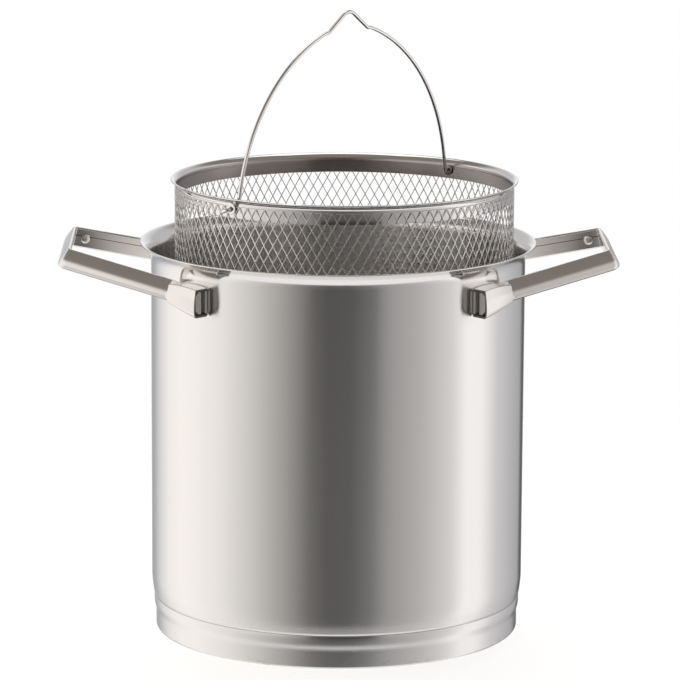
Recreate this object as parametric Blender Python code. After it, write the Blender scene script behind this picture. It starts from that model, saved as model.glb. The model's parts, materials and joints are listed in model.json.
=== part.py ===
"""Tall steel pot for asparagus: a drawn shell on a capsule base, two looped side handles
and a lift-out basket of expanded metal with a swinging bail.

Metres, +Z up. The origin is the middle of the flat underside. The front is -Y and the
handles stand out along +X and -X.
"""

import bpy
import bmesh
from math import asin, cos, pi, radians, sin, tan
from mathutils import Matrix, Vector

# Fits
TOUCH_GAP = 0.0003          # left between pieces that bear on each other
ROUND_STEPS = 48            # facets of a large turned piece
SMALL_STEPS = 12            # facets of a small turned piece
SHARP_ANGLE = radians(32.0)  # edges sharper than this stay crisp

# Pot shell
POT_RADIUS = 0.1000
POT_WALL = 0.0009
RIM_TOP = 0.2104            # top of the pouring rim, which the handles and the basket follow
RIM_CURL = 0.0082           # outer radius of the rim's outward curl
RIM_SWEEP = radians(71.0)   # how far the rim curls from upright
DRAW_IN_HEIGHT = 0.0310     # where the wall begins to draw in above the base
DRAW_IN = 0.00135           # how far it has drawn in at the seam
DRAW_IN_STEPS = 3
CORNER_RADIUS = 0.0080      # bottom corner, hidden in the capsule
SEAM_CLEARANCE = 0.0004     # from the top of that corner to the seam

# Capsule base
CAP_WALL = 0.0006
CAP_INSET = 0.0023          # of the cap's straight lower side from the pot's radius
CAP_EDGE_RADIUS = 0.0016    # round between the cap's side and the underside
CAP_COLLAR = 0.0037         # height of the cap's upright edge below the seam
CAP_WIDENING = 0.0055       # height over which the side widens below that edge
CORE_THICKNESS = 0.0086     # aluminium disc
CORE_RIM = 0.0021           # how far the disc reaches up round the shell's corner

# Handle loops
HANDLE_STAND_OUT = 0.0472   # from the pot's wall to the outer face of the loop
HANDLE_DEPTH = 0.0052       # section, from its inner to its outer side
HANDLE_HEIGHT = 0.0110      # section, top to bottom
HANDLE_WALL = 0.0009
HANDLE_RISE = radians(13.3)  # tilt of the loop's plane
HANDLE_DROP = 0.0182        # from the rim down to the centre line where the pads end
HANDLE_RIDGE_DROP = 0.0032  # of the outer ridge below the centre line
HANDLE_SEAM_LIFT = 0.0012   # height of the folded tube's seam above the centre line
HANDLE_SEAM_WIDTH = 0.0006
HANDLE_EDGE = 0.0008        # small bevel along the inner edges
ARM_TURN = radians(35.0)    # bend from the pad into the arm
ARM_BEND_RADIUS = 0.0120
LOOP_CORNER_RADIUS = 0.0050
PAD_START = radians(46.8)   # open end of the pad, from the X axis
PAD_END = radians(35.5)     # where the pad leaves the wall
PAD_EXTRA_DEPTH = 0.0051    # the pad stands this much further out than the arm is deep
PAD_FLARE_UP = 0.0031       # growth of the section towards the pad's open end
PAD_FLARE_DOWN = 0.0007
PAD_WAIST = 0.0012          # how far the lower edge is drawn up where the pad ends
PAD_STEPS = 5
BEND_STEPS = 3
CORNER_STEPS = 4

# Brackets welded to the wall inside each pad
BRACKET_PLATE = 0.0016      # leg against the pot
BRACKET_LEG = 0.0040        # leg behind the pad's outer face
BRACKET_SET_BACK = 0.0004   # of the bracket's end from the shell's open end
BRACKET_SLOT_LENGTH = 0.0120
BRACKET_BEVEL = 0.0020

# Stitch rivets through the folded seam
RIVET_HEAD_RADIUS = 0.0026
RIVET_TAIL_RADIUS = 0.0022
RIVET_SHANK_RADIUS = 0.0015
RIVET_HEAD_HEIGHT = 0.0008
RIVET_TAIL_HEIGHT = 0.0007
RIVET_SET_BACK = 0.0016     # from the end of the loop's corner to the rivet's head

# Basket
BASKET_OFFSET = Vector((0.0032, 0.0012, 0.0))   # it stands loose and a little off centre
BASKET_RISE = 0.0335        # of its lip above the pot's rim
BASKET_CLEARANCE = 0.0094   # between the pot's inside and the rim band
BAND_WALL = 0.0008
BAND_HEIGHT = 0.0105
LIP_CURL = 0.0036
LIP_SWEEP = radians(75.0)
GRILLE_THICKNESS = 0.0007
GRILLE_PANELS = 12          # panels round the basket
PANEL_COLUMNS = 2           # openings across a panel
GRILLE_ASPECT = 1.95        # height of an opening over its width
GRILLE_STRAND = 0.0012
GRILLE_OVERLAP = 0.0013     # how far the grille laps over each band
BASE_BAND_HEIGHT = 0.0105
FLOOR_THICKNESS = 0.0008
FLOOR_HOLE_RADIUS = 0.0060
FLOOR_HOLE_RINGS = 2
FLOOR_HOLE_PITCH = 0.0280   # between rings of holes
FOOT_HEIGHT = 0.0062
FOOT_INSET = 0.0107         # of the foot ring from the basket's band
FOOT_WALL = 0.0010

# Bail
BAIL_WIRE = 0.0010          # radius of the wire
BAIL_AZIMUTH = radians(49.0)  # of its hinge axis
BAIL_PIVOT_DROP = 0.0057    # hinge axis below the basket's top
BAIL_LEAN = radians(1.4)    # it stands a touch off upright
BAIL_FOOT_LEAN = radians(4.7)   # lean of each leg at the hinge
BAIL_LEG_GAP = 0.0024       # from the band's inner face to a leg's wire
BAIL_SHOULDER_HALF = 0.01877   # half the width between the arch's upper ends
BAIL_SHOULDER_HEIGHT = 0.0847   # where the arch ends and the finger hump starts
BAIL_HUMP_FOOT_HEIGHT = 0.0850
BAIL_HUMP_HALF = 0.0159     # half the hump's width at its foot
BAIL_HUMP_SLOPE = radians(35.8)
BAIL_APEX_RADIUS = 0.0077
BAIL_SHOULDER_RADIUS = 0.0040
BAIL_HOOK_RADIUS = 0.0018
BAIL_TAIL_GAP = 0.0005      # from the lip to the wire's hooked tail
BAIL_TAIL_LENGTH = 0.0038
BAIL_TAIL_DROP = radians(25.0)  # of the front tail, which is bent aside
ARCH_STEPS = 12
WIRE_BEND_STEPS = 3

# Eyelets
EYELET_TUBE_WALL = 0.0007
EYELET_FLANGE_RADIUS = 0.0029
EYELET_FLANGE = 0.0006

# Sizes that follow from the ones above
CORE_BOTTOM = CAP_WALL + TOUCH_GAP
SHELL_BOTTOM = CORE_BOTTOM + CORE_THICKNESS + TOUCH_GAP
POT_FLOOR = SHELL_BOTTOM + POT_WALL
SEAM_HEIGHT = SHELL_BOTTOM + CORNER_RADIUS + SEAM_CLEARANCE
SEAM_RADIUS = POT_RADIUS - DRAW_IN
CAP_RADIUS = POT_RADIUS - CAP_INSET
CAP_WIDEST = SEAM_HEIGHT - CAP_COLLAR
CAP_SIDE_TOP = CAP_WIDEST - CAP_WIDENING
TUCK_RADIUS = SEAM_RADIUS - CAP_WALL - TOUCH_GAP
FOOT_BOTTOM = POT_FLOOR + TOUCH_GAP
FLOOR_BOTTOM = FOOT_BOTTOM + FOOT_HEIGHT + TOUCH_GAP
BASKET_TOP = RIM_TOP + BASKET_RISE
BAND_RADIUS = POT_RADIUS - POT_WALL - BASKET_CLEARANCE
BAND_INSIDE = BAND_RADIUS - BAND_WALL
FOOT_RADIUS = BAND_RADIUS - FOOT_INSET
BAND_BOTTOM = BASKET_TOP - BAND_HEIGHT
LIP_RADIUS = BAND_RADIUS + LIP_CURL * (1.0 - cos(LIP_SWEEP))
BASE_BAND_TOP = FLOOR_BOTTOM + BASE_BAND_HEIGHT
PANEL_ANGLE = 2.0 * pi / GRILLE_PANELS
HALF_COLUMN = 0.5 * PANEL_ANGLE / PANEL_COLUMNS
GRILLE_INSIDE = (BAND_RADIUS + TOUCH_GAP) / cos(0.5 * HALF_COLUMN)
GRILLE_OUTSIDE = BAND_RADIUS + 2.0 * TOUCH_GAP + GRILLE_THICKNESS
PIVOT_HEIGHT = BASKET_TOP - BAIL_PIVOT_DROP
BORE_RADIUS = BAIL_WIRE + TOUCH_GAP
TUBE_RADIUS = BORE_RADIUS + EYELET_TUBE_WALL
HANDLE_REACH = POT_RADIUS + HANDLE_STAND_OUT
HANDLE_LEVEL = RIM_TOP - HANDLE_DROP
HALF_DEPTH = 0.5 * HANDLE_DEPTH
PAD_CENTRE_RADIUS = POT_RADIUS + TOUCH_GAP + HALF_DEPTH
LIP_STUB = 1.5 * HANDLE_WALL

# Outer side of the handle's section, from top to bottom: how far each point lies in from
# the outermost line on the loop and on the pad, as shares of the section's depth, and its
# height as a share of the half height. The loop has a flat face that leans in towards the
# top, a steeper one below it down to a ridge, and the pad one shallow curve.
OUTER_SIDE = (
    (0.650, 0.231, 1.00),
    (0.330, 0.050, 0.35),
    (0.100, 0.000, -0.15),
    (0.000, 0.010, -HANDLE_RIDGE_DROP / (0.5 * HANDLE_HEIGHT)),
    (0.110, 0.080, -0.84),
    (0.450, 0.250, -1.00),
)


def clear_scene():
    for item in list(bpy.data.objects):
        bpy.data.objects.remove(item, do_unlink=True)


def material(name, colour, roughness, metallic=1.0):
    made = bpy.data.materials.new(name)
    made.use_nodes = True
    made.diffuse_color = (*colour, 1.0)
    shader = made.node_tree.nodes["Principled BSDF"]
    shader.inputs["Base Color"].default_value = (*colour, 1.0)
    shader.inputs["Roughness"].default_value = roughness
    shader.inputs["Metallic"].default_value = metallic
    return made


def add_object(name, mesh, finish, place=None):
    item = bpy.data.objects.new(name, mesh)
    bpy.context.scene.collection.objects.link(item)
    mesh.materials.append(finish)
    if place is not None:
        item.matrix_world = place
    return item


def add_child(name, mesh, finish, parent):
    """An object drawn in its parent's coordinates."""
    item = add_object(name, mesh, finish)
    item.parent = parent
    return item


def add_empty(name, location):
    item = bpy.data.objects.new(name, None)
    bpy.context.scene.collection.objects.link(item)
    item.location = location
    return item


def finish_mesh(bm, name, outward=None):
    """Merge, orient and store a mesh; outward gives a point of a sheet and its normal there."""
    bmesh.ops.remove_doubles(bm, verts=bm.verts, dist=1e-6)
    bmesh.ops.dissolve_degenerate(bm, edges=bm.edges, dist=1e-7)
    bmesh.ops.recalc_face_normals(bm, faces=bm.faces)
    if outward is not None:
        place, normal = outward
        nearest = min(bm.faces, key=lambda face: (face.calc_center_median() - place).length)
        if nearest.normal.dot(normal) < 0.0:
            bmesh.ops.reverse_faces(bm, faces=bm.faces)
    mesh = bpy.data.meshes.new(name)
    bm.to_mesh(mesh)
    bm.free()
    mesh.shade_smooth()
    mesh.set_sharp_from_angle(angle=SHARP_ANGLE)
    return mesh


def arc(centre, radius, start, end, steps):
    """Points on a circle from one angle to another, both ends included."""
    turns = [start + (end - start) * i / steps for i in range(steps + 1)]
    return [(centre[0] + radius * cos(a), centre[1] + radius * sin(a)) for a in turns]


def turned_mesh(name, profile, steps=ROUND_STEPS, closed=False):
    """A profile of (radius, height) points spun about Z; closed joins its two ends.

    An open profile's outer face lies to the right of its direction, and one that starts and
    ends on the axis makes a solid.
    """
    bm = bmesh.new()
    verts = [bm.verts.new((r, 0.0, z)) for r, z in profile]
    edges = [bm.edges.new(pair) for pair in zip(verts, verts[1:])]
    if closed:
        edges.append(bm.edges.new((verts[-1], verts[0])))
    bmesh.ops.spin(bm, geom=verts + edges, cent=(0, 0, 0), axis=(0, 0, 1),
                   angle=2.0 * pi, steps=steps, use_merge=True)
    if closed or profile[-1][0] == 0.0:
        return finish_mesh(bm, name)
    (r1, z1), (r2, z2) = profile[:2]
    middle = Vector((0.5 * (r1 + r2), 0.0, 0.5 * (z1 + z2)))
    return finish_mesh(bm, name, (middle, Vector((z2 - z1, 0.0, r1 - r2))))


def add_wall(item, thickness, offset=-1.0):
    """Thicken a sheet: inwards from its outer face, or outwards where offset is 1."""
    solidify = item.modifiers.new("wall", "SOLIDIFY")
    solidify.thickness = thickness
    solidify.offset = offset
    solidify.use_even_offset = True


def swept_mesh(name, rings):
    """One face of points carried from ring to ring, with both ends closed."""
    bm = bmesh.new()
    face = bm.faces.new([bm.verts.new(point) for point in rings[0]])
    for before, after in zip(rings, rings[1:]):
        made = bmesh.ops.extrude_face_region(bm, geom=[face])["geom"]
        if before is not rings[0]:
            bmesh.ops.delete(bm, geom=[face], context="FACES_ONLY")
        face = next(item for item in made if isinstance(item, bmesh.types.BMFace))
        moved = {tuple(vert.co): vert for vert in face.verts}
        for old, new in zip(before, after):
            moved[tuple(Vector(old))].co = new
    return finish_mesh(bm, name)


def cutter(name, mesh, place=None):
    """A shape that only cuts: it is drawn as wire and never rendered."""
    item = bpy.data.objects.new(name, mesh)
    bpy.context.scene.collection.objects.link(item)
    if place is not None:
        item.matrix_world = place
    item.hide_render = True
    item.display_type = "WIRE"
    return item


def cut(item, tool):
    boolean = item.modifiers.new("cut " + tool.name, "BOOLEAN")
    boolean.operation = "DIFFERENCE"
    boolean.object = tool


def cylinder_mesh(name, radius, length, steps):
    """A closed cylinder along Z, centred on the origin."""
    half = 0.5 * length
    return turned_mesh(name, [(0.0, -half), (radius, -half), (radius, half), (0.0, half)], steps)


def rounded(points, radii, steps):
    """A polyline in space with an arc of the given radius at each inner corner."""
    points = [Vector(point) for point in points]
    path = [points[0]]
    for before, corner, after, radius in zip(points, points[1:], points[2:], radii):
        into = (corner - before).normalized()
        away = (after - corner).normalized()
        turn = into.angle(away)
        if radius <= 0.0 or turn < 1e-4:
            path.append(corner)
            continue
        reach = radius * tan(0.5 * turn)
        inward = (away - into).normalized()
        centre = corner + inward * (radius / cos(0.5 * turn))
        start = corner - into * reach - centre
        side = start.cross(corner + away * reach - centre).normalized()
        for i in range(steps + 1):
            path.append(centre + Matrix.Rotation(turn * i / steps, 3, side) @ start)
    path.append(points[-1])
    return path


# Pot

def shell_profile():
    """Outer face of the shell, from the middle of its floor up to the rim's edge."""
    tuck = arc((TUCK_RADIUS - CORNER_RADIUS, SHELL_BOTTOM + CORNER_RADIUS),
               CORNER_RADIUS, -0.5 * pi, 0.0, 3)
    joggle = [(SEAM_RADIUS, SEAM_HEIGHT + TOUCH_GAP)]
    draw_in = []
    for i in range(DRAW_IN_STEPS - 1, -1, -1):
        share = i / DRAW_IN_STEPS
        height = DRAW_IN_HEIGHT - (DRAW_IN_HEIGHT - SEAM_HEIGHT - TOUCH_GAP) * share
        draw_in.append((POT_RADIUS - DRAW_IN * share ** 2, height))
    curl_start = RIM_TOP - (RIM_CURL + POT_WALL) * sin(RIM_SWEEP)
    rim = arc((POT_RADIUS + RIM_CURL, curl_start), RIM_CURL, pi, pi - RIM_SWEEP, 5)
    return [(0.0, SHELL_BOTTOM)] + tuck + joggle + draw_in + rim


def cap_profile():
    """Outer face of the cap, from the middle of the underside up to its edge at the seam."""
    edge = arc((CAP_RADIUS - CAP_EDGE_RADIUS, CAP_EDGE_RADIUS), CAP_EDGE_RADIUS, -0.5 * pi, 0.0, 2)
    middle = 0.5 * (CAP_SIDE_TOP + CAP_WIDEST)
    widening = [(CAP_RADIUS, CAP_SIDE_TOP), (0.5 * (CAP_RADIUS + SEAM_RADIUS), middle)]
    collar = [(SEAM_RADIUS, CAP_WIDEST), (SEAM_RADIUS, SEAM_HEIGHT - TOUCH_GAP)]
    return [(0.0, 0.0)] + edge + widening + collar


def core_profile():
    """Section of the aluminium disc, which fills the capsule up round the shell's corner."""
    inside = CAP_RADIUS - CAP_WALL - TOUCH_GAP
    top = SHELL_BOTTOM - TOUCH_GAP
    bend = CORNER_RADIUS + TOUCH_GAP
    centre = (TUCK_RADIUS - CORNER_RADIUS, SHELL_BOTTOM + CORNER_RADIUS)
    reach = asin((CORE_RIM - CORNER_RADIUS) / bend)
    seat = arc(centre, bend, reach, -0.5 * pi, 3)
    bottom = (inside - CAP_EDGE_RADIUS, CORE_BOTTOM)
    side = [(inside, CORE_BOTTOM + CAP_EDGE_RADIUS), (inside, CAP_SIDE_TOP)]
    return [(0.0, CORE_BOTTOM), bottom] + side + seat + [(0.0, top)]


def build_pot(finishes):
    shell = add_object("pot_body", turned_mesh("pot_body", shell_profile()), finishes["steel"])
    add_wall(shell, POT_WALL)
    cap = add_object("base_cap", turned_mesh("base_cap", cap_profile()), finishes["steel"])
    add_wall(cap, CAP_WALL)
    add_object("base_core", turned_mesh("base_core", core_profile()), finishes["aluminium"])


# Handles

class Station:
    """One place along a handle: its centre, its outward normal in plan, and its section.

    pad is 0 on the free loop and 1 where the section lies against the wall, and along is 0
    where the pad ends and 1 at its open end, where the section is tallest.
    """

    def __init__(self, place, outward, pad=0.0, along=0.0):
        self.place = place
        self.outward = outward
        self.pad = pad
        self.along = along

    def flipped(self):
        """The same station on the other half of the loop."""
        place = Vector((self.place.x, -self.place.y))
        outward = Vector((self.outward.x, -self.outward.y))
        return Station(place, outward, self.pad, self.along)

    def point(self, depth, height):
        """A point of the section, depth outwards and height upwards from its centre."""
        slope = tan(HANDLE_RISE)
        free = 1.0 - self.pad
        level = HANDLE_LEVEL + slope * (self.place.x - PAD_CENTRE_RADIUS * cos(PAD_END))
        normal = Vector((self.outward.x, self.outward.y, free * slope * self.outward.x))
        lean = Vector((-sin(HANDLE_RISE), 0.0, cos(HANDLE_RISE)))
        upward = lean.lerp(Vector((0.0, 0.0, 1.0)), self.pad).normalized()
        centre = Vector((self.place.x, self.place.y, level))
        return centre + normal.normalized() * depth + upward * height

    def half_heights(self, inset=0.0):
        bulge = 1.0 - (1.0 - self.along) ** 2
        waist = PAD_WAIST * self.pad * (1.0 - self.along)
        top = 0.5 * HANDLE_HEIGHT + PAD_FLARE_UP * bulge - inset
        bottom = 0.5 * HANDLE_HEIGHT + PAD_FLARE_DOWN * self.along - waist - inset
        return top, -bottom


def smooth_step(share):
    share = min(max(share, 0.0), 1.0)
    return share * share * (3.0 - 2.0 * share)


def heading_vector(angle):
    return Vector((cos(angle), sin(angle)))


def left_of(angle):
    return Vector((-sin(angle), cos(angle)))


def pad_stations(first=PAD_START, last=PAD_END):
    """Stations along the wall, from the pad's open end towards the arm."""
    stations = []
    for i in range(PAD_STEPS + 1):
        angle = first + (last - first) * i / PAD_STEPS
        outward = heading_vector(angle)
        along = min((angle - PAD_END) / (PAD_START - PAD_END), 1.0)
        stations.append(Station(outward * PAD_CENTRE_RADIUS, outward, 1.0, along))
    return stations


def arm_corners():
    """In plan: where the pad meets the arm, the arm's heading, and the loop's corner."""
    along_pad = PAD_END - 0.5 * pi
    start = heading_vector(PAD_END) * PAD_CENTRE_RADIUS
    bend_corner = start + heading_vector(along_pad) * (ARM_BEND_RADIUS * tan(0.5 * ARM_TURN))
    heading = along_pad + ARM_TURN
    along_arm = heading_vector(heading)
    run = (HANDLE_REACH - HALF_DEPTH - bend_corner.x) / along_arm.x
    return start, heading, bend_corner + along_arm * run


def half_loop():
    """Stations of one half of a loop, from the pad's open end to the outer bar."""
    start, heading, corner = arm_corners()
    along_pad = PAD_END - 0.5 * pi
    stations = pad_stations()
    # The bend turns away from the wall, so its centre lies outside the loop.
    centre = start + left_of(along_pad) * ARM_BEND_RADIUS
    for i in range(1, BEND_STEPS + 1):
        outward = left_of(along_pad + ARM_TURN * i / BEND_STEPS)
        pad = 1.0 - smooth_step(i / BEND_STEPS)
        stations.append(Station(centre - outward * ARM_BEND_RADIUS, outward, pad))
    # The corner turns the other way, onto the outer bar.
    swing = heading + 0.5 * pi
    entry = corner - heading_vector(heading) * (LOOP_CORNER_RADIUS * tan(0.5 * swing))
    centre = entry - left_of(heading) * LOOP_CORNER_RADIUS
    for i in range(CORNER_STEPS + 1):
        outward = left_of(heading - swing * i / CORNER_STEPS)
        stations.append(Station(centre + outward * LOOP_CORNER_RADIUS, outward))
    return stations


def full_loop():
    """Stations of a whole loop, from the rear pad round to the front pad."""
    rear = half_loop()
    return rear + [station.flipped() for station in reversed(rear)]


def inset_line(points, distance):
    """A polyline moved sideways by a distance, to the right of its direction."""
    moved = []
    for i, point in enumerate(points):
        before = Vector(points[max(i - 1, 0)])
        after = Vector(points[min(i + 1, len(points) - 1)])
        here = Vector(point)
        into = (here - before if i > 0 else after - here).normalized()
        away = (after - here if i < len(points) - 1 else here - before).normalized()
        side = Vector((into.y + away.y, -into.x - away.x)).normalized()
        stretch = side.dot(Vector((into.y, -into.x)))
        moved.append(here + side * (distance / stretch))
    return [(point.x, point.y) for point in moved]


def shell_section(station):
    """The folded tube's section: round the outside from lip to lip, and back inside."""
    pad = station.pad
    inner = -HALF_DEPTH
    outer = HALF_DEPTH + PAD_EXTRA_DEPTH * pad
    top, bottom = station.half_heights()
    # On the pad the lips shrink to stubs, so that the section is open towards the wall.
    seam_top = HANDLE_SEAM_LIFT + 0.5 * HANDLE_SEAM_WIDTH
    seam_bottom = HANDLE_SEAM_LIFT - 0.5 * HANDLE_SEAM_WIDTH
    upper_lip = seam_top * (1.0 - pad) + (top - LIP_STUB) * pad
    lower_lip = seam_bottom * (1.0 - pad) + (bottom + LIP_STUB) * pad
    outside = [(inner, upper_lip), (inner, top - HANDLE_EDGE), (inner + HANDLE_EDGE, top)]
    for free_inset, pad_inset, height in OUTER_SIDE:
        inset = HANDLE_DEPTH * (free_inset * (1.0 - pad) + pad_inset * pad)
        outside.append((outer - inset, height * (top if height > 0.0 else -bottom)))
    outside += [(inner + HANDLE_EDGE, bottom), (inner, bottom + HANDLE_EDGE), (inner, lower_lip)]
    inside = inset_line(outside, HANDLE_WALL)
    return [station.point(depth, height) for depth, height in outside + inside[::-1]]


def bracket_mesh(name, stations, near, far, inset):
    """A bar along the pad between two depths, set in from the shell's outer flanges."""
    bevel = BRACKET_BEVEL
    rings = []
    for station in stations:
        top, bottom = station.half_heights(inset)
        section = [(near, top), (far - bevel, top), (far, top - bevel),
                   (far, bottom + bevel), (far - bevel, bottom), (near, bottom)]
        rings.append([station.point(depth, height) for depth, height in section])
    return swept_mesh(name, rings)


def build_bracket(name, rear, turn, finish):
    """A U-shaped bracket whose slot opens at the pad's end."""
    near = -HALF_DEPTH
    far = HALF_DEPTH + PAD_EXTRA_DEPTH - HANDLE_WALL - 3.0 * TOUCH_GAP
    first = PAD_START - BRACKET_SET_BACK / PAD_CENTRE_RADIUS
    last = PAD_END + TOUCH_GAP / PAD_CENTRE_RADIUS
    slot_start = first + HANDLE_DEPTH / PAD_CENTRE_RADIUS
    slot_end = first - BRACKET_SLOT_LENGTH / PAD_CENTRE_RADIUS
    block = pad_stations(first, last)
    slot = pad_stations(slot_start, slot_end)
    if not rear:
        block = [station.flipped() for station in block]
        slot = [station.flipped() for station in slot]
    mesh = bracket_mesh(name, block, near, far, LIP_STUB + TOUCH_GAP)
    item = add_object(name, mesh, finish, turn)
    slot_mesh = bracket_mesh(name + "_slot", slot, near + BRACKET_PLATE, far - BRACKET_LEG, -HANDLE_DEPTH)
    cut(item, cutter(name + "_slot", slot_mesh, turn))


def rivet_place(rear):
    """Where a rivet crosses the tube's inner face, with +Z into the tube."""
    start, heading, corner = arm_corners()
    swing = heading + 0.5 * pi
    back = LOOP_CORNER_RADIUS * tan(0.5 * swing) + RIVET_SET_BACK + RIVET_HEAD_RADIUS
    station = Station(corner - heading_vector(heading) * back, left_of(heading))
    if not rear:
        station = station.flipped()
    foot = station.point(-HALF_DEPTH, 0.0)
    inward = (station.point(0.0, 0.0) - foot).normalized()
    return Matrix.Translation(foot) @ inward.to_track_quat("Z", "Y").to_matrix().to_4x4()


def rivet_mesh(name):
    """A spool: domed head outside, shank through the fold, flat tail inside."""
    head = -TOUCH_GAP
    tail = HANDLE_WALL + TOUCH_GAP
    dome = head - RIVET_HEAD_HEIGHT
    profile = [(0.0, dome), (0.7 * RIVET_HEAD_RADIUS, head - 0.8 * RIVET_HEAD_HEIGHT),
               (RIVET_HEAD_RADIUS, head - 0.3 * RIVET_HEAD_HEIGHT), (RIVET_HEAD_RADIUS, head),
               (RIVET_SHANK_RADIUS, head), (RIVET_SHANK_RADIUS, tail), (RIVET_TAIL_RADIUS, tail),
               (RIVET_TAIL_RADIUS, tail + RIVET_TAIL_HEIGHT), (0.0, tail + RIVET_TAIL_HEIGHT)]
    return turned_mesh(name, profile, SMALL_STEPS)


def build_handles(finishes):
    """The right handle as drawn, and the left one as the same handle turned half round."""
    loop = [shell_section(station) for station in full_loop()]
    hole_length = 2.0 * (HANDLE_WALL + RIVET_HEAD_RADIUS)
    for side, angle in (("right", 0.0), ("left", pi)):
        stem = "handle_" + side
        turn = Matrix.Rotation(angle, 4, "Z")
        shell = add_object(stem + "_shell", swept_mesh(stem + "_shell", loop), finishes["steel"], turn)
        for end in ("front", "rear"):
            rear = (end == "rear") == (side == "right")
            build_bracket(stem + "_bracket_" + end, rear, turn, finishes["bracket"])
            place = turn @ rivet_place(rear)
            rivet = stem + "_rivet_" + end
            add_object(rivet, rivet_mesh(rivet), finishes["rivet"], place)
            hole = cylinder_mesh(rivet + "_hole", RIVET_SHANK_RADIUS + TOUCH_GAP, hole_length, SMALL_STEPS)
            cut(shell, cutter(rivet + "_hole", hole, place))


# Basket

def band_profile():
    """Section of the rim band: a straight strip whose upper edge curls out into a lip."""
    curl_start = BASKET_TOP - (LIP_CURL + BAND_WALL) * sin(LIP_SWEEP)
    outer = arc((BAND_RADIUS + LIP_CURL, curl_start), LIP_CURL, pi, pi - LIP_SWEEP, 4)
    return [(BAND_RADIUS, BAND_BOTTOM)] + outer


def ring_profile(outer, wall, bottom, top):
    return [(outer - wall, bottom), (outer, bottom), (outer, top), (outer - wall, top)]


def floor_profile():
    """Half section of the basket's floor, a flat disc inside the base band."""
    outer = BAND_INSIDE - TOUCH_GAP
    top = FLOOR_BOTTOM + FLOOR_THICKNESS
    return [(0.0, FLOOR_BOTTOM), (outer, FLOOR_BOTTOM), (outer, top), (0.0, top)]


def floor_holes_mesh(name):
    """Pins that pierce the floor: one in the middle and six more in each further ring."""
    bm = bmesh.new()
    for ring in range(FLOOR_HOLE_RINGS + 1):
        count = max(1, 6 * ring)
        for i in range(count):
            angle = 2.0 * pi * i / count
            reach = ring * FLOOR_HOLE_PITCH
            place = Matrix.Translation((reach * cos(angle), reach * sin(angle), FLOOR_BOTTOM))
            bmesh.ops.create_cone(bm, cap_ends=True, segments=8, radius1=FLOOR_HOLE_RADIUS,
                                  radius2=FLOOR_HOLE_RADIUS, depth=6.0 * FLOOR_THICKNESS, matrix=place)
    return finish_mesh(bm, name)


def panel_mesh(name, bottom, top):
    """A panel of strands round diamond openings, on a cylinder about Z and centred on +X."""
    tall = GRILLE_INSIDE * 2.0 * HALF_COLUMN * GRILLE_ASPECT
    rows = max(2, round((top - bottom) / (0.5 * tall)))
    bm = bmesh.new()
    knots = {}

    def knot(column, row):
        key = (column, min(max(row, 0), rows))
        if key not in knots:
            angle = HALF_COLUMN * (column - PANEL_COLUMNS)
            height = bottom + (top - bottom) * key[1] / rows
            knots[key] = bm.verts.new((GRILLE_INSIDE * cos(angle), GRILLE_INSIDE * sin(angle), height))
        return knots[key]

    for row in range(rows + 1):
        for column in range(row % 2, 2 * PANEL_COLUMNS + 1, 2):
            bm.faces.new((knot(column + 1, row), knot(column, row + 1),
                          knot(column - 1, row), knot(column, row - 1)))
    bm.normal_update()
    openings = bm.faces[:]
    bmesh.ops.inset_individual(bm, faces=openings, thickness=0.5 * GRILLE_STRAND, use_even_offset=True)
    bmesh.ops.delete(bm, geom=openings, context="FACES")
    # The openings on the panel's two edges are halved there, through their knots.
    for side in (-1.0, 1.0):
        edge = 0.5 * side * PANEL_ANGLE
        across = Vector((-sin(edge), cos(edge), 0.0)) * side
        bmesh.ops.bisect_plane(bm, geom=bm.verts[:] + bm.edges[:] + bm.faces[:], dist=1e-7,
                               plane_co=-0.5 * TOUCH_GAP * across, plane_no=across, clear_outer=True)
    middle = Vector((GRILLE_INSIDE, 0.0, 0.5 * (bottom + top)))
    return finish_mesh(bm, name, (middle, Vector((1.0, 0.0, 0.0))))


def build_basket(finishes):
    carrier = add_empty("basket_lift", BASKET_OFFSET)
    steel = finishes["steel"]
    bore = cylinder_mesh("eyelet_bore", TUBE_RADIUS + TOUCH_GAP, 3.0 * BAND_RADIUS, SMALL_STEPS)
    across = Matrix.Rotation(BAIL_AZIMUTH, 4, "Z") @ Matrix.Rotation(0.5 * pi, 4, "Y")
    bore_place = Matrix.Translation(BASKET_OFFSET + Vector((0.0, 0.0, PIVOT_HEIGHT))) @ across

    band = add_child("basket_rim_band", turned_mesh("basket_rim_band", band_profile()), steel, carrier)
    add_wall(band, BAND_WALL)
    cut(band, cutter("eyelet_bore", bore, bore_place))

    for i in range(GRILLE_PANELS):
        name = "basket_wall_panel_%02d" % (i + 1)
        mesh = panel_mesh(name, BASE_BAND_TOP - GRILLE_OVERLAP, BAND_BOTTOM + GRILLE_OVERLAP)
        panel = add_child(name, mesh, finishes["mesh"], carrier)
        panel.rotation_euler = (0.0, 0.0, BAIL_AZIMUTH + PANEL_ANGLE * (i + 0.5))
        add_wall(panel, GRILLE_THICKNESS, 1.0)

    base = ring_profile(BAND_RADIUS, BAND_WALL, FLOOR_BOTTOM, BASE_BAND_TOP)
    add_child("basket_base_band", turned_mesh("basket_base_band", base, closed=True), steel, carrier)

    floor = add_child("basket_floor", turned_mesh("basket_floor", floor_profile()), steel, carrier)
    cut(floor, cutter("floor_holes", floor_holes_mesh("floor_holes"), Matrix.Translation(BASKET_OFFSET)))

    foot = ring_profile(FOOT_RADIUS, FOOT_WALL, FOOT_BOTTOM, FOOT_BOTTOM + FOOT_HEIGHT)
    add_child("basket_foot_ring", turned_mesh("basket_foot_ring", foot, closed=True), steel, carrier)
    return carrier


# Bail and its eyelets

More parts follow.
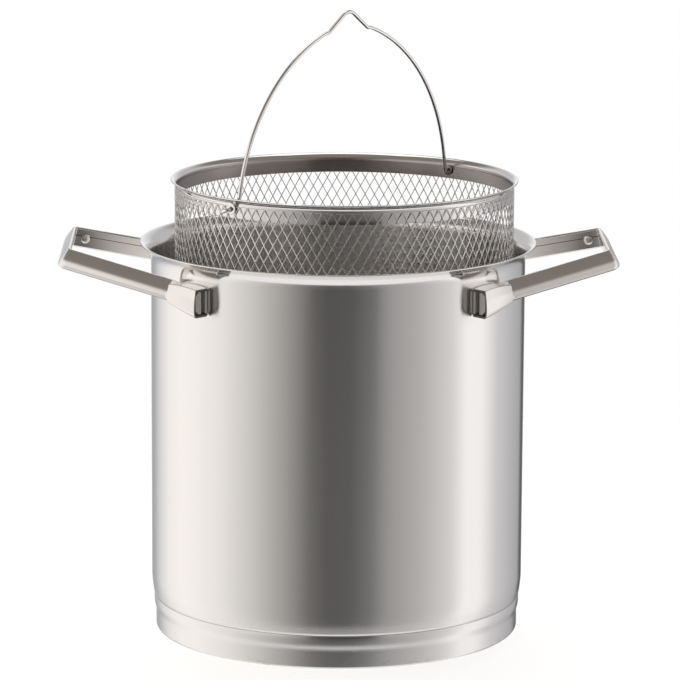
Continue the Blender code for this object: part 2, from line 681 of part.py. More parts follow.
def eyelet_mesh(name):
    """A flanged tube along Z, whose outer flange is at the greater Z."""
    inner_face = BAND_INSIDE - TOUCH_GAP
    outer_face = GRILLE_OUTSIDE + TOUCH_GAP
    start = inner_face - EYELET_FLANGE
    end = outer_face + EYELET_FLANGE
    profile = [(BORE_RADIUS, start), (EYELET_FLANGE_RADIUS, start), (EYELET_FLANGE_RADIUS, inner_face),
               (TUBE_RADIUS, inner_face), (TUBE_RADIUS, outer_face), (EYELET_FLANGE_RADIUS, outer_face),
               (EYELET_FLANGE_RADIUS, end), (BORE_RADIUS, end)]
    return turned_mesh(name, profile, SMALL_STEPS, closed=True)


def bail_half(sign, tail_end):
    """Half of the bail in its own plane, from the tail outside the band up to the apex.

    X is along the hinge axis, Y across the bail and Z up from the axis.
    """
    leg = BAND_INSIDE - BAIL_LEG_GAP - BAIL_WIRE
    tail = LIP_RADIUS + BAIL_TAIL_GAP + BAIL_WIRE
    inward = leg - BAIL_SHOULDER_HALF
    sag = inward * cos(BAIL_FOOT_LEAN) - BAIL_SHOULDER_HEIGHT * sin(BAIL_FOOT_LEAN)
    radius = 0.5 * (inward ** 2 + BAIL_SHOULDER_HEIGHT ** 2) / sag
    centre = (leg - radius * cos(BAIL_FOOT_LEAN), -radius * sin(BAIL_FOOT_LEAN))
    shoulder = asin((BAIL_SHOULDER_HEIGHT - centre[1]) / radius)
    arch = arc(centre, radius, BAIL_FOOT_LEAN, shoulder, ARCH_STEPS)
    crown = BAIL_HUMP_FOOT_HEIGHT + BAIL_HUMP_HALF * tan(BAIL_HUMP_SLOPE)
    flat = arch + [(BAIL_HUMP_HALF, BAIL_HUMP_FOOT_HEIGHT), (0.0, crown)]
    points = [tail_end, (tail, 0.0, 0.0)] + [(x, 0.0, z) for x, z in flat]
    radii = [BAIL_HOOK_RADIUS, BAIL_HOOK_RADIUS] + [0.0] * (len(arch) - 2)
    radii += [BAIL_SHOULDER_RADIUS, BAIL_SHOULDER_RADIUS]
    return [Vector((sign * x, y, z)) for x, y, z in points], radii


def bail_points():
    """Centre line of the whole wire: the rear tail stands up, the front one is bent aside."""
    tail = LIP_RADIUS + BAIL_TAIL_GAP + BAIL_WIRE
    rear_end = (tail, 0.0, BAIL_TAIL_LENGTH)
    front_end = (tail, BAIL_TAIL_LENGTH * cos(BAIL_TAIL_DROP), -BAIL_TAIL_LENGTH * sin(BAIL_TAIL_DROP))
    rear, radii = bail_half(1.0, rear_end)
    front, radii = bail_half(-1.0, front_end)
    points = rear + front[-2::-1]
    return rounded(points, radii + [BAIL_APEX_RADIUS] + radii[::-1], WIRE_BEND_STEPS)


def wire_object(name, points, radius, finish, parent):
    """A round wire along the points, made from a bevelled curve."""
    curve = bpy.data.curves.new(name, "CURVE")
    curve.dimensions = "3D"
    curve.bevel_depth = radius
    curve.bevel_resolution = 2
    curve.use_fill_caps = True
    spline = curve.splines.new("POLY")
    spline.points.add(len(points) - 1)
    for knot, point in zip(spline.points, points):
        knot.co = (*point, 1.0)
    curve.materials.append(finish)
    item = bpy.data.objects.new(name, curve)
    bpy.context.scene.collection.objects.link(item)
    item.parent = parent
    return item


def build_bail(finishes, carrier):
    hinge = add_empty("bail_hinge", (0.0, 0.0, PIVOT_HEIGHT))
    hinge.parent = carrier
    hinge.rotation_euler = (BAIL_LEAN, 0.0, BAIL_AZIMUTH)
    wire_object("bail", bail_points(), BAIL_WIRE, finishes["wire"], hinge)
    for end, turn in (("rear", 0.0), ("front", pi)):
        name = "bail_eyelet_" + end
        eyelet = add_child(name, eyelet_mesh(name), finishes["steel"], carrier)
        eyelet.location = (0.0, 0.0, PIVOT_HEIGHT)
        eyelet.rotation_euler = (0.0, 0.5 * pi, BAIL_AZIMUTH + turn)


def main():
    clear_scene()
    finishes = {
        "steel": material("polished steel", (0.62, 0.62, 0.62), 0.16),
        "aluminium": material("aluminium", (0.72, 0.73, 0.74), 0.45),
        "bracket": material("bracket steel", (0.42, 0.41, 0.40), 0.35),
        "rivet": material("rivet steel", (0.60, 0.58, 0.55), 0.30),
        "mesh": material("basket steel", (0.60, 0.60, 0.61), 0.28),
        "wire": material("bail wire", (0.66, 0.66, 0.66), 0.12),
    }
    build_pot(finishes)
    build_handles(finishes)
    carrier = build_basket(finishes)
    build_bail(finishes, carrier)


main()
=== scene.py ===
"""Looks of the asparagus pot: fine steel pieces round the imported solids, their finishes,
a soft studio and the photograph's camera. Metres, +Z up, in the frame of the solids."""

import json
from math import asin, atan2, cos, pi, radians, sin, tan

import bmesh
import bpy
from mathutils import Matrix, Vector


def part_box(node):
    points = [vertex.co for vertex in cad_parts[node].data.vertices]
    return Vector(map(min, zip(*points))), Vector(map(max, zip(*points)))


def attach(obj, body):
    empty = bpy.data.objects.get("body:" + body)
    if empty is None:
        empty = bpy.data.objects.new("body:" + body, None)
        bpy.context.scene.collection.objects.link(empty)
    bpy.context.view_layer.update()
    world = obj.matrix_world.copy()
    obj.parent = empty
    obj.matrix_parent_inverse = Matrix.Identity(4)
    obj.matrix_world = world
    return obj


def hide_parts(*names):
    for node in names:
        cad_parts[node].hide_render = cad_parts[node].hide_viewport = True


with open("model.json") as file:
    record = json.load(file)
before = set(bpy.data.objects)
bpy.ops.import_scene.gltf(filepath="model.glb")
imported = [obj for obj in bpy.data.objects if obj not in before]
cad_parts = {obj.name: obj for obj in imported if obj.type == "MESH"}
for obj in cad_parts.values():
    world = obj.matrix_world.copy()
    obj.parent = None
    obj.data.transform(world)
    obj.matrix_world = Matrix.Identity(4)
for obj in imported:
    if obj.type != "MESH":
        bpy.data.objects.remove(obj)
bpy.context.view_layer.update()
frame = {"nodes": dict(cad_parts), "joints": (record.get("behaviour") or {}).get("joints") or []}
scene = bpy.context.scene

# Steps of the fine meshes
MERGE = 1e-6
TURN_STEPS = 192            # round a large turned piece
SMALL_TURN_STEPS = 40
TOUCH_GAP = 0.0003          # between pieces that bear on each other
EDGE_STEPS = 5              # round the rolled edge of a sheet
BOTTOM_CORNER_STEPS = 8
DRAW_IN_STEPS = 12
RIM_CURL_STEPS = 18
CAP_EDGE_STEPS = 6
CAP_WIDENING_STEPS = 8
LIP_CURL_STEPS = 14
FLOOR_EDGE_STEPS = 8
FLANGE_STEPS = 6            # round an eyelet's rolled flange
DOME_STEPS = 7              # over a rivet's head
CRISP = 35.0                # degrees between faces, above which an edge stays sharp
CRISP_TURNED = 50.0         # the same on turned sheets
CRISP_TUBE = 30.0           # on the handles' tubes
CRISP_STRANDS = 60.0        # on the expanded metal
STRAIGHT = 1e-4             # a turn below this, in radians, gets no arc

# Pot shell
POT_RADIUS = 0.1000
POT_WALL = 0.0009
RIM_CURL = 0.0082
RIM_SWEEP = radians(71.0)
DRAW_IN_HEIGHT = 0.0310
DRAW_IN = 0.00135
CORNER_RADIUS = 0.0080

# Capsule base
CAP_WALL = 0.0006
CAP_RADIUS = 0.0977
CAP_EDGE_RADIUS = 0.0016
CAP_SIDE_TOP = 0.0090
CAP_WIDEST = 0.0145

# Handle loops
HANDLE_REACH = 0.1472
HANDLE_DEPTH = 0.0052
HANDLE_HEIGHT = 0.0110
HANDLE_WALL = 0.0009
HANDLE_RISE = radians(13.3)
HANDLE_LEVEL = 0.1922
HANDLE_RIDGE_DROP = 0.0032
HANDLE_SEAM_LIFT = 0.0012
HANDLE_SEAM_WIDTH = 0.0003
HANDLE_EDGE = 0.0008
ARM_TURN = radians(35.0)
ARM_BEND_RADIUS = 0.0120
LOOP_CORNER_RADIUS = 0.0032
RIVET_CORNER_RADIUS = 0.0050   # of the solids' corner, from which the rivets are set out
PAD_START = radians(46.8)
PAD_END = radians(35.5)
PAD_EXTRA_DEPTH = 0.0051
PAD_FLARE_UP = 0.0031
PAD_FLARE_DOWN = 0.0007
PAD_WAIST = 0.0012
PAD_STEPS = 16
BEND_STEPS = 16
CORNER_STEPS = 16
ROUND_EDGE = 0.0005         # of the tube's pressed edges
RIDGE_EDGE = 0.0004         # of its outer ridge
FACE_BEND = 0.0135          # between its two outer faces
EDGE_BEND_STEPS = 4

# Brackets inside the pads
BRACKET_PLATE = 0.0016
BRACKET_LEG = 0.0040
BRACKET_SET_BACK = 0.0004
BRACKET_SLOT_LENGTH = 0.0120
BRACKET_BEVEL = 0.0020

# Slightly duller patches of the wall beside the pads
PATCH_START = 46.0          # degrees from the X axis
PATCH_EDGE = 2.0            # degrees over which a patch sets in
PATCH_REACH = 11.0          # degrees
PATCH_LEVEL = 0.1910
PATCH_HALF_HEIGHT = 0.0140
PATCH_DULLNESS = 0.10       # added to the wall's roughness

# Where finishes and painted shade change, from high to low
DULL_BELOW_RIM = (0.004, 0.010)     # depths under the rim over which the inside turns dull
UNDERSIDE = (0.0012, 0.0004)        # heights over which the cap's turned rings set in
FOOT_SCUFFS_AND_SHADE = (0.0065, 0.0005)        # heights over which the cap's rougher patches, painted darker as shade, set in towards the foot
BAND_FADE = 0.0001                  # either side of the middle of the band's wall, where the painted shade within sets in

# Stitch rivets
RIVET_HEAD_RADIUS = 0.0026
RIVET_TAIL_RADIUS = 0.0022
RIVET_SHANK_RADIUS = 0.0015
RIVET_HEAD_HEIGHT = 0.0008
RIVET_TAIL_HEIGHT = 0.0007
RIVET_SET_BACK = 0.0016

# Basket
BAND_RADIUS = 0.0897
BAND_WALL = 0.0008
LIP_CURL = 0.0036
LIP_SWEEP = radians(75.0)
MESH_COLUMNS = 108          # openings round the basket
MESH_OPENING_HEIGHT = 0.0093
MESH_STRAND = 0.00040
MESH_TILT = 0.00005          # of a strand's edges in and out of the sheet
MESH_THICKNESS = 0.00045
MESH_TOP_GAP = 0.0045       # from the lip's top down to the mesh's upper edge
FLOOR_WALL = 0.0008
FLOOR_HOLE_RADIUS = 0.0060
FLOOR_HOLE_RINGS = 2
FLOOR_HOLE_PITCH = 0.0280
FOOT_WALL = 0.0010
RING_EDGE = 0.00025         # rounding of the plain rings

# Bail and eyelets
BAIL_WIRE = 0.0010
BAIL_LEAN = radians(1.4)
BAIL_FOOT_LEAN = radians(4.7)
BAIL_LEG_GAP = 0.0024
BAIL_SHOULDER_HALF = 0.01877
BAIL_SHOULDER_HEIGHT = 0.0847
BAIL_HUMP_FOOT_HEIGHT = 0.0850
BAIL_HUMP_HALF = 0.0159
BAIL_HUMP_SLOPE = radians(35.8)
BAIL_APEX_RADIUS = 0.0077
BAIL_SHOULDER_RADIUS = 0.0040
BAIL_HOOK_RADIUS = 0.0018
BAIL_TAIL_GAP = 0.0005
BAIL_TAIL_LENGTH = 0.0038
BAIL_TAIL_DROP = radians(25.0)
ARCH_STEPS = 48
WIRE_BEND_STEPS = 10
EYELET_TUBE_WALL = 0.0007
EYELET_FLANGE_RADIUS = 0.0029
EYELET_FLANGE = 0.0006

# Places that the frame gives
POT_RIM_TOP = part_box("pot_body")[1].z
SHELL_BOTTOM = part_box("pot_body")[0].z
SEAM_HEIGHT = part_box("base_cap")[1].z + TOUCH_GAP
band_low, band_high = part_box("basket_rim_band")
BASKET_CENTRE = Vector((0.5 * (band_low.x + band_high.x), 0.5 * (band_low.y + band_high.y), 0.0))
BASKET_TOP = band_high.z
BAND_BOTTOM = band_low.z
floor_low, floor_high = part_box("basket_floor")
base_low, base_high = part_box("basket_base_band")
foot_low, foot_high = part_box("basket_foot_ring")
hinge = next(joint for joint in frame["joints"] if joint["name"] == "bail_swing")
HINGE_PLACE = Vector(hinge["pos_m"])
HINGE_AXIS = Vector(hinge["axis"]).normalized()

# Sizes that follow
SEAM_RADIUS = POT_RADIUS - DRAW_IN
TUCK_RADIUS = SEAM_RADIUS - CAP_WALL - TOUCH_GAP
BAND_INSIDE = BAND_RADIUS - BAND_WALL
LIP_RADIUS = BAND_RADIUS + LIP_CURL * (1.0 - cos(LIP_SWEEP))
MESH_RADIUS = BAND_RADIUS + TOUCH_GAP
MESH_OUTSIDE = MESH_RADIUS + MESH_THICKNESS
FOOT_RADIUS = 0.5 * (foot_high.x - foot_low.x)
BORE_RADIUS = BAIL_WIRE + TOUCH_GAP
TUBE_RADIUS = BORE_RADIUS + EYELET_TUBE_WALL
HALF_DEPTH = 0.5 * HANDLE_DEPTH
PAD_CENTRE_RADIUS = POT_RADIUS + TOUCH_GAP + HALF_DEPTH
LIP_STUB = 1.5 * HANDLE_WALL

# Outer side of the handle's section, top to bottom: inset on the loop and on the pad as
# shares of its depth, height as a share of the half height, and the corner's rounding.
OUTER_SIDE = (
    (0.650, 0.231, 1.00, ROUND_EDGE),
    (0.330, 0.050, 0.35, FACE_BEND),
    (0.100, 0.000, -0.15, FACE_BEND),
    (0.000, 0.010, -HANDLE_RIDGE_DROP / (0.5 * HANDLE_HEIGHT), RIDGE_EDGE),
    (0.110, 0.080, -0.84, ROUND_EDGE),
    (0.450, 0.250, -1.00, ROUND_EDGE),
)

# Camera, fitted to the outlines of the photograph
PHOTO_WIDTH = 680
CAMERA_PLACE = (0.00125, -2.22895, 0.59413)
CAMERA_PITCH = radians(11.235)
CAMERA_ROLL = radians(0.316)
CAMERA_AZIMUTH = radians(-1.0)      # the pot stands turned a little to the camera
CAMERA_FOCAL_PIXELS = 4233.0
CAMERA_SHIFT_PIXELS = 8.6
SENSOR_WIDTH = 36.0

# Studio, as bare steel sees it: tones round a tent by azimuth, 0 towards the camera and
# positive to the right, below the horizon and above it. Behind the pot it is white.
LOW_TONES = (
    (-180, (1.00, 1.00, 1.00)),
    (-171, (0.80, 0.80, 0.81)),
    (-164, (0.38, 0.38, 0.40)),
    (-152, (0.50, 0.51, 0.53)),
    (-141, (0.80, 0.80, 0.80)),
    (-127, (1.06, 1.03, 1.00)),
    (-110, (1.15, 1.12, 1.08)),
    (-96, (1.10, 1.07, 1.03)),
    (-75, (0.98, 0.955, 0.93)),
    (-53, (0.71, 0.69, 0.67)),
    (-33, (0.42, 0.41, 0.40)),
    (-17, (0.19, 0.185, 0.18)),
    (-6, (0.125, 0.12, 0.12)),
    (8, (0.135, 0.13, 0.13)),
    (20, (0.21, 0.21, 0.21)),
    (32, (0.38, 0.37, 0.37)),
    (52, (0.54, 0.53, 0.53)),
    (74, (0.80, 0.79, 0.79)),
    (86, (1.12, 1.10, 1.10)),
    (99, (1.10, 1.08, 1.08)),
    (115, (0.73, 0.72, 0.73)),
    (135, (0.55, 0.55, 0.57)),
    (152, (0.42, 0.42, 0.44)),
    (158, (0.13, 0.12, 0.12)),
    (166, (0.13, 0.12, 0.12)),
    (173, (0.80, 0.80, 0.81)),
)
HIGH_TONES = (
    (-180, (1.00, 1.00, 1.00)),
    (-168, (0.60, 0.60, 0.61)),
    (-150, (0.62, 0.61, 0.61)),
    (-110, (1.10, 1.07, 1.04)),
    (-60, (1.15, 1.11, 1.08)),
    (-38, (1.10, 1.06, 1.03)),
    (-20, (0.50, 0.48, 0.46)),
    (0, (0.16, 0.155, 0.15)),
    (18, (0.30, 0.29, 0.28)),
    (34, (0.62, 0.60, 0.58)),
    (60, (0.66, 0.64, 0.62)),
    (90, (1.05, 1.03, 1.02)),
    (125, (0.60, 0.59, 0.60)),
    (160, (0.55, 0.55, 0.56)),
    (172, (0.80, 0.80, 0.81)),
)
TENT_RADIUS = 4.0
TENT_LOWEST = radians(-42.0)        # its lower edge, as an elevation
TENT_RINGS, TENT_SECTORS = 20, 64
CEILING_TONE = (0.24, 0.215, 0.195)
CEILING_EDGE = (0.46, 0.66)         # heights over which each sets in, as shares of the radius
HIGH_EDGE = (-0.02, 0.12)
CARD_TONE = (0.03, 0.028, 0.028)
CARD_SIDES = (-15.0, 24.0)
CARD_HEIGHTS = (-0.118, 0.20)
CARD_SOFTNESS = 1.5                 # degrees
SOFTBOX_PLACE = (0.0, 0.75, 1.75)
SOFTBOX_SIZE = 1.1
SOFTBOX_RADIANCE = 1.25
GROUND_RADIUS = 0.9
GROUND_FADE = (0.16, 0.75)
GROUND_LIFT = 0.62                  # own light of the floor, for the camera alone


# Shader maths

class Value:
    """A number's socket, which adds Math nodes when it is used in sums."""

    def __init__(self, sheet, socket):
        self.sheet = sheet
        self.socket = socket

    def maths(self, operation, *inputs):
        return self.sheet.node("ShaderNodeMath", {"operation": operation}, inputs)

    def __add__(self, other):
        return self.maths("ADD", self, other)

    __radd__ = __add__

    def __sub__(self, other):
        return self.maths("SUBTRACT", self, other)

    def __rsub__(self, other):
        return self.maths("SUBTRACT", other, self)

    def __mul__(self, other):
        return self.maths("MULTIPLY", self, other)

    __rmul__ = __mul__

    def root(self):
        return self.maths("SQRT", self)

    def between(self, low, high):
        """0 at low, 1 at high and smooth between them; low may be the greater."""
        settings = {"interpolation_type": "SMOOTHSTEP"}
        if low <= high:
            return self.sheet.node("ShaderNodeMapRange", settings, (self, low, high, 0.0, 1.0))
        return self.sheet.node("ShaderNodeMapRange", settings, (self, high, low, 1.0, 0.0))


class Sheet:
    """The nodes of one material, or of the world, under construction."""

    def __init__(self, tree):
        self.tree = tree

    def feed(self, socket, value):
        if isinstance(value, Value):
            self.tree.links.new(value.socket, socket)
        elif isinstance(value, tuple) and socket.type == "RGBA":
            socket.default_value = (*value, 1.0)
        else:
            socket.default_value = value

    def node(self, kind, settings=None, inputs=(), output=0):
        """A node with its settings and its inputs, a row of values or a dictionary."""
        made = self.tree.nodes.new(kind)
        for key, value in (settings or {}).items():
            if key == "stops":
                self.set_stops(made.color_ramp, value)
            else:
                setattr(made, key, value)
        for key, value in inputs.items() if isinstance(inputs, dict) else enumerate(inputs):
            self.feed(made.inputs[key], value)
        return Value(self, made.outputs[output])

    def set_stops(self, ramp, stops):
        while len(ramp.elements) < len(stops):
            ramp.elements.new(1.0)
        for element, (place, colour) in zip(ramp.elements, stops):
            element.position = place
            element.color = (*colour, 1.0)

    def mix(self, share, first, second):
        """A colour between two, by a share from 0 to 1."""
        return self.node("ShaderNodeMix", {"data_type": "RGBA"}, {0: share, 6: first, 7: second}, 2)

    def noise(self, place, scale, detail=2.0, stretch=(1.0, 1.0, 1.0)):
        """Noise about 0.5, on a place stretched along the axes."""
        spread = self.node("ShaderNodeMapping", None, {"Vector": place, "Scale": stretch})
        settings = {"noise_dimensions": "3D"}
        inputs = {"Vector": spread, "Scale": scale, "Detail": detail}
        return self.node("ShaderNodeTexNoise", settings, inputs)

    def round_tones(self, azimuth, tones):
        """A colour by azimuth in degrees, from rows of azimuth and colour that start at -180."""
        stops = [(angle / 360.0 + 0.5, tone) for angle, tone in tones]
        stops.append((1.0, tones[0][1]))
        share = azimuth * (1.0 / 360.0) + 0.5
        return self.node("ShaderNodeValToRGB", {"stops": stops}, (share,))

    def parts(self, place):
        """The x, y and z of a place."""
        split = self.node("ShaderNodeSeparateXYZ", None, (place,))
        node = split.socket.node
        return [Value(self, node.outputs[i]) for i in range(3)]


class Finish(Sheet):
    """A steel finish: a Principled shader fed from patterns on Object coordinates."""

    def __init__(self, name, metallic=1.0):
        self.material = bpy.data.materials.new(name)
        self.material.use_nodes = True
        super().__init__(self.material.node_tree)
        self.shader = self.tree.nodes["Principled BSDF"]
        self.set("Metallic", metallic)
        self.place = self.node("ShaderNodeTexCoord", output=3)

    def set(self, name, value):
        self.feed(self.shader.inputs[name], value)

    def bump(self, height, depth, strength=1.0):
        """A relief of the given depth in metres from a height between 0 and 1."""
        inputs = {"Strength": strength, "Distance": depth, "Height": height}
        self.set("Normal", self.node("ShaderNodeBump", None, inputs))


def grained(name, colour, dull, roughness, grain, stretch, depth):
    """Steel with a grain: colour and dull are its two tones, stretch lays the grain's lines."""
    finish = Finish(name)
    fine = finish.noise(finish.place, grain, 3.0, stretch)
    broad = finish.noise(finish.place, 14.0, 4.0)
    finish.set("Base Color", finish.mix(broad, colour, dull))
    finish.set("Roughness", roughness + (fine - 0.5) * 0.10 + (broad - 0.5) * 0.06)
    finish.bump(fine, depth)
    return finish


def beside_pads(finish):
    """1 on the patches of the wall next to the pads' open ends, 0 elsewhere."""
    x, y, z = finish.parts(finish.place)
    turn = y.maths("ARCTAN2", y.maths("ABSOLUTE", y), x.maths("ABSOLUTE", x)) * (180.0 / pi)
    start, reach = PATCH_START, PATCH_REACH
    along = turn.between(start - PATCH_EDGE, start) * turn.between(start + reach, start + 0.6 * reach)
    level, half = PATCH_LEVEL, PATCH_HALF_HEIGHT
    above_foot = z.between(level - half, level - 0.7 * half)
    return along * above_foot * z.between(level + half, level + 0.7 * half)


def wall_steel():
    """Satin outside with lines round the pot, and a duller brushed inside."""
    finish = Finish("satin wall steel")
    x, y, z = finish.parts(finish.place)
    radius = (x * x + y * y).root()
    inside = radius.between(POT_RADIUS - 0.2 * POT_WALL, POT_RADIUS - 0.8 * POT_WALL)
    polished, dull = DULL_BELOW_RIM
    inside = inside * z.between(POT_RIM_TOP - polished, POT_RIM_TOP - dull)
    fine = finish.noise(finish.place, 60.0, 4.0, (0.12, 0.12, 40.0))
    broad = finish.noise(finish.place, 9.0, 4.0, (1.0, 1.0, 0.6))
    finish.set("Base Color", finish.mix(broad, (0.815, 0.80, 0.785), (0.785, 0.77, 0.755)))
    outside_roughness = 0.13 + (fine - 0.5) * 0.06 + (broad - 0.5) * 0.05
    patches = beside_pads(finish) * PATCH_DULLNESS
    finish.set("Roughness", outside_roughness + inside * 0.14 + patches)
    finish.set("Anisotropic", 0.75)
    finish.set("Anisotropic Rotation", 0.25)
    finish.bump(fine, 0.000012)
    return finish.material


def cap_steel():
    """Duller satin of the base, with turned rings on the underside and rougher patches towards the
    foot, painted darker as shade.
    """
    finish = Finish("satin cap steel")
    x, y, z = finish.parts(finish.place)
    radius = (x * x + y * y).root()
    under = z.between(*UNDERSIDE)
    sides = finish.noise(finish.place, 60.0, 4.0, (0.15, 0.15, 40.0))
    turned = finish.node("ShaderNodeTexNoise", {"noise_dimensions": "1D"},
                         {"W": radius, "Scale": 2600.0, "Detail": 2.0})
    lines = sides * (1.0 - under) + turned * under
    patch_noise = finish.noise(finish.place, 120.0, 6.0, (1.0, 1.0, 3.0)).between(0.56, 0.75)
    scuffs_and_shade = patch_noise * z.between(*FOOT_SCUFFS_AND_SHADE)
    # Towards the foot, patches are rougher and painted darker: the darker tone is a painted
    # reflection of the shaded floor.
    tone = finish.mix(scuffs_and_shade, (0.80, 0.785, 0.77), (0.62, 0.61, 0.60))
    finish.set("Base Color", tone)
    finish.set("Roughness", 0.24 + (lines - 0.5) * 0.10 + scuffs_and_shade * 0.12)
    finish.set("Anisotropic", 0.6)
    finish.set("Anisotropic Rotation", 0.25)
    finish.bump(lines, 0.000018)
    return finish.material


def handle_steel():
    finish = grained("polished handle steel", (0.80, 0.775, 0.75), (0.76, 0.735, 0.71), 0.14,
                     90.0, (0.4, 0.4, 6.0), 0.000004)
    return finish.material


def bracket_steel():
    finish = grained("sheared bracket steel", (0.80, 0.78, 0.76), (0.62, 0.60, 0.585), 0.52,
                     420.0, (1.0, 1.0, 0.3), 0.00005)
    finish.set("Metallic", 0.55)
    return finish.material


def rivet_steel():
    finish = grained("rivet steel", (0.78, 0.75, 0.70), (0.70, 0.66, 0.61), 0.20,
                     500.0, (1.0, 1.0, 1.0), 0.00002)
    return finish.material


def band_steel():
    """Polished outside and over the lip; within the band rougher, and painted dark as shade."""
    finish = Finish("polished band steel")
    x, y, z = finish.parts(finish.place)
    x, y = x - BASKET_CENTRE.x, y - BASKET_CENTRE.y
    middle = BAND_RADIUS - 0.5 * BAND_WALL
    inside = (x * x + y * y).root().between(middle + BAND_FADE, middle - BAND_FADE)
    fine = finish.noise(finish.place, 60.0, 3.0, (0.15, 0.15, 30.0))
    broad = finish.noise(finish.place, 14.0, 4.0)
    polished = finish.mix(broad, (0.82, 0.805, 0.795), (0.78, 0.765, 0.755))
    # Within the band, a dark tone painted as shade, standing in for the darker reflections inside it,
    # over a rougher finish.
    dull = finish.mix(broad, (0.40, 0.365, 0.35), (0.34, 0.31, 0.295))
    finish.set("Base Color", finish.mix(inside, polished, dull))
    finish.set("Roughness", 0.07 + (broad - 0.5) * 0.04 + (0.16 + (fine - 0.5) * 0.10) * inside)
    finish.bump(fine, 0.000002)
    return finish.material


def strand_steel():
    finish = grained("drawn strand steel", (0.92, 0.90, 0.885), (0.80, 0.78, 0.765), 0.24,
                     700.0, (1.0, 1.0, 1.0), 0.00002)
    return finish.material


def wire_steel():
    finish = grained("bright wire steel", (0.84, 0.825, 0.81), (0.78, 0.765, 0.75), 0.09,
                     350.0, (1.0, 1.0, 0.2), 0.000003)
    return finish.material


def core_metal():
    finish = grained("cast aluminium", (0.74, 0.75, 0.76), (0.64, 0.65, 0.66), 0.45,
                     260.0, (1.0, 1.0, 1.0), 0.00006)
    return finish.material


# Mesh helpers

def arc(centre, radius, start, end, steps):
    """Points on a circle from one angle to another, both ends included."""
    turns = [start + (end - start) * i / steps for i in range(steps + 1)]
    return [(centre[0] + radius * cos(a), centre[1] + radius * sin(a)) for a in turns]


def offset_line(points, distance):
    """A polyline moved sideways by a distance, to the right of its direction."""
    moved = []
    for i, point in enumerate(points):
        here = Vector(point)
        into = here - Vector(points[i - 1]) if i > 0 else Vector(points[1]) - here
        away = Vector(points[i + 1]) - here if i < len(points) - 1 else into
        into.normalize()
        away.normalize()
        side = Vector((into.y + away.y, -into.x - away.x)).normalized()
        stretch = side.dot(Vector((into.y, -into.x)))
        moved.append(here + side * (distance / stretch))
    return [(point.x, point.y) for point in moved]


def sheet_profile(outside, wall):
    """A sheet's section with a rolled edge, from its outer face with the metal to its left."""
    inside = offset_line(outside, -wall)
    outer_end, inner_end = Vector(outside[-1]), Vector(inside[-1])
    middle = 0.5 * (outer_end + inner_end)
    spoke = outer_end - middle
    edge = []
    for i in range(1, EDGE_STEPS):
        turned = Matrix.Rotation(pi * i / EDGE_STEPS, 2) @ spoke
        edge.append((middle.x + turned.x, middle.y + turned.y))
    return outside + edge + inside[::-1]


def turned_mesh(profile, steps, closed=False):
    """A bmesh of a (radius, height) profile spun about Z; closed joins its two ends."""
    bm = bmesh.new()
    verts = [bm.verts.new((r, 0.0, z)) for r, z in profile]
    edges = [bm.edges.new(pair) for pair in zip(verts, verts[1:])]
    if closed:
        edges.append(bm.edges.new((verts[-1], verts[0])))
    bmesh.ops.spin(bm, geom=verts + edges, cent=(0, 0, 0), axis=(0, 0, 1),
                   angle=2.0 * pi, steps=steps, use_merge=True)
    clean(bm)
    return bm


def clean(bm):
    bmesh.ops.remove_doubles(bm, verts=bm.verts, dist=MERGE)
    bmesh.ops.dissolve_degenerate(bm, edges=bm.edges, dist=0.1 * MERGE)
    bmesh.ops.recalc_face_normals(bm, faces=bm.faces)


def ring_mesh(outer, wall, bottom, top):
    """A plain ring with slightly rounded edges."""
    corners = [(outer - wall, bottom), (outer, bottom), (outer, top), (outer - wall, top)]
    bm = turned_mesh(corners, TURN_STEPS, closed=True)
    rings = [edge for edge in bm.edges if abs(edge.verts[0].co.z - edge.verts[1].co.z) < MERGE
             and abs(edge.verts[0].co.xy.length - edge.verts[1].co.xy.length) < MERGE]
    bmesh.ops.bevel(bm, geom=rings, offset=RING_EDGE, segments=2, profile=0.5,
                    affect="EDGES", material=-1)
    return bm


def pin_mesh(radius, reach):
    """A round pin along Z, reaching as far below the origin as above it."""
    profile = [(0.0, -reach), (radius, -reach), (radius, reach), (0.0, reach)]
    return turned_mesh(profile, SMALL_TURN_STEPS)


def move(bm, matrix):
    bmesh.ops.transform(bm, matrix=matrix, verts=bm.verts)


def store(name, bm, finish, crisp=CRISP):
    """An object at the origin from a bmesh, smooth but for edges sharper than crisp degrees."""
    mesh = bpy.data.meshes.new(name)
    bm.to_mesh(mesh)
    bm.free()
    mesh.shade_smooth()
    mesh.set_sharp_from_angle(angle=radians(crisp))
    mesh.materials.append(finish)
    made = bpy.data.objects.new(name, mesh)
    scene.collection.objects.link(made)
    return made


def place(piece, body, slot, *nodes):
    """The piece rides on a body and stands for the nodes; the slot is not used."""
    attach(piece, body)
    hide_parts(*nodes)


def cut(piece, tools):
    """Cut closed bmeshes out of a piece, and keep the result as its mesh."""
    for tool in tools:
        cutter = store(piece.name + "_tool", tool, None)
        boolean = piece.modifiers.new("cut", "BOOLEAN")
        boolean.operation = "DIFFERENCE"
        boolean.object = cutter
        evaluated = piece.evaluated_get(bpy.context.evaluated_depsgraph_get())
        result = bpy.data.meshes.new_from_object(evaluated)
        piece.modifiers.clear()
        piece.data = result
        bpy.data.objects.remove(cutter, do_unlink=True)
    piece.data.set_sharp_from_angle(angle=radians(CRISP))


# Pot and base

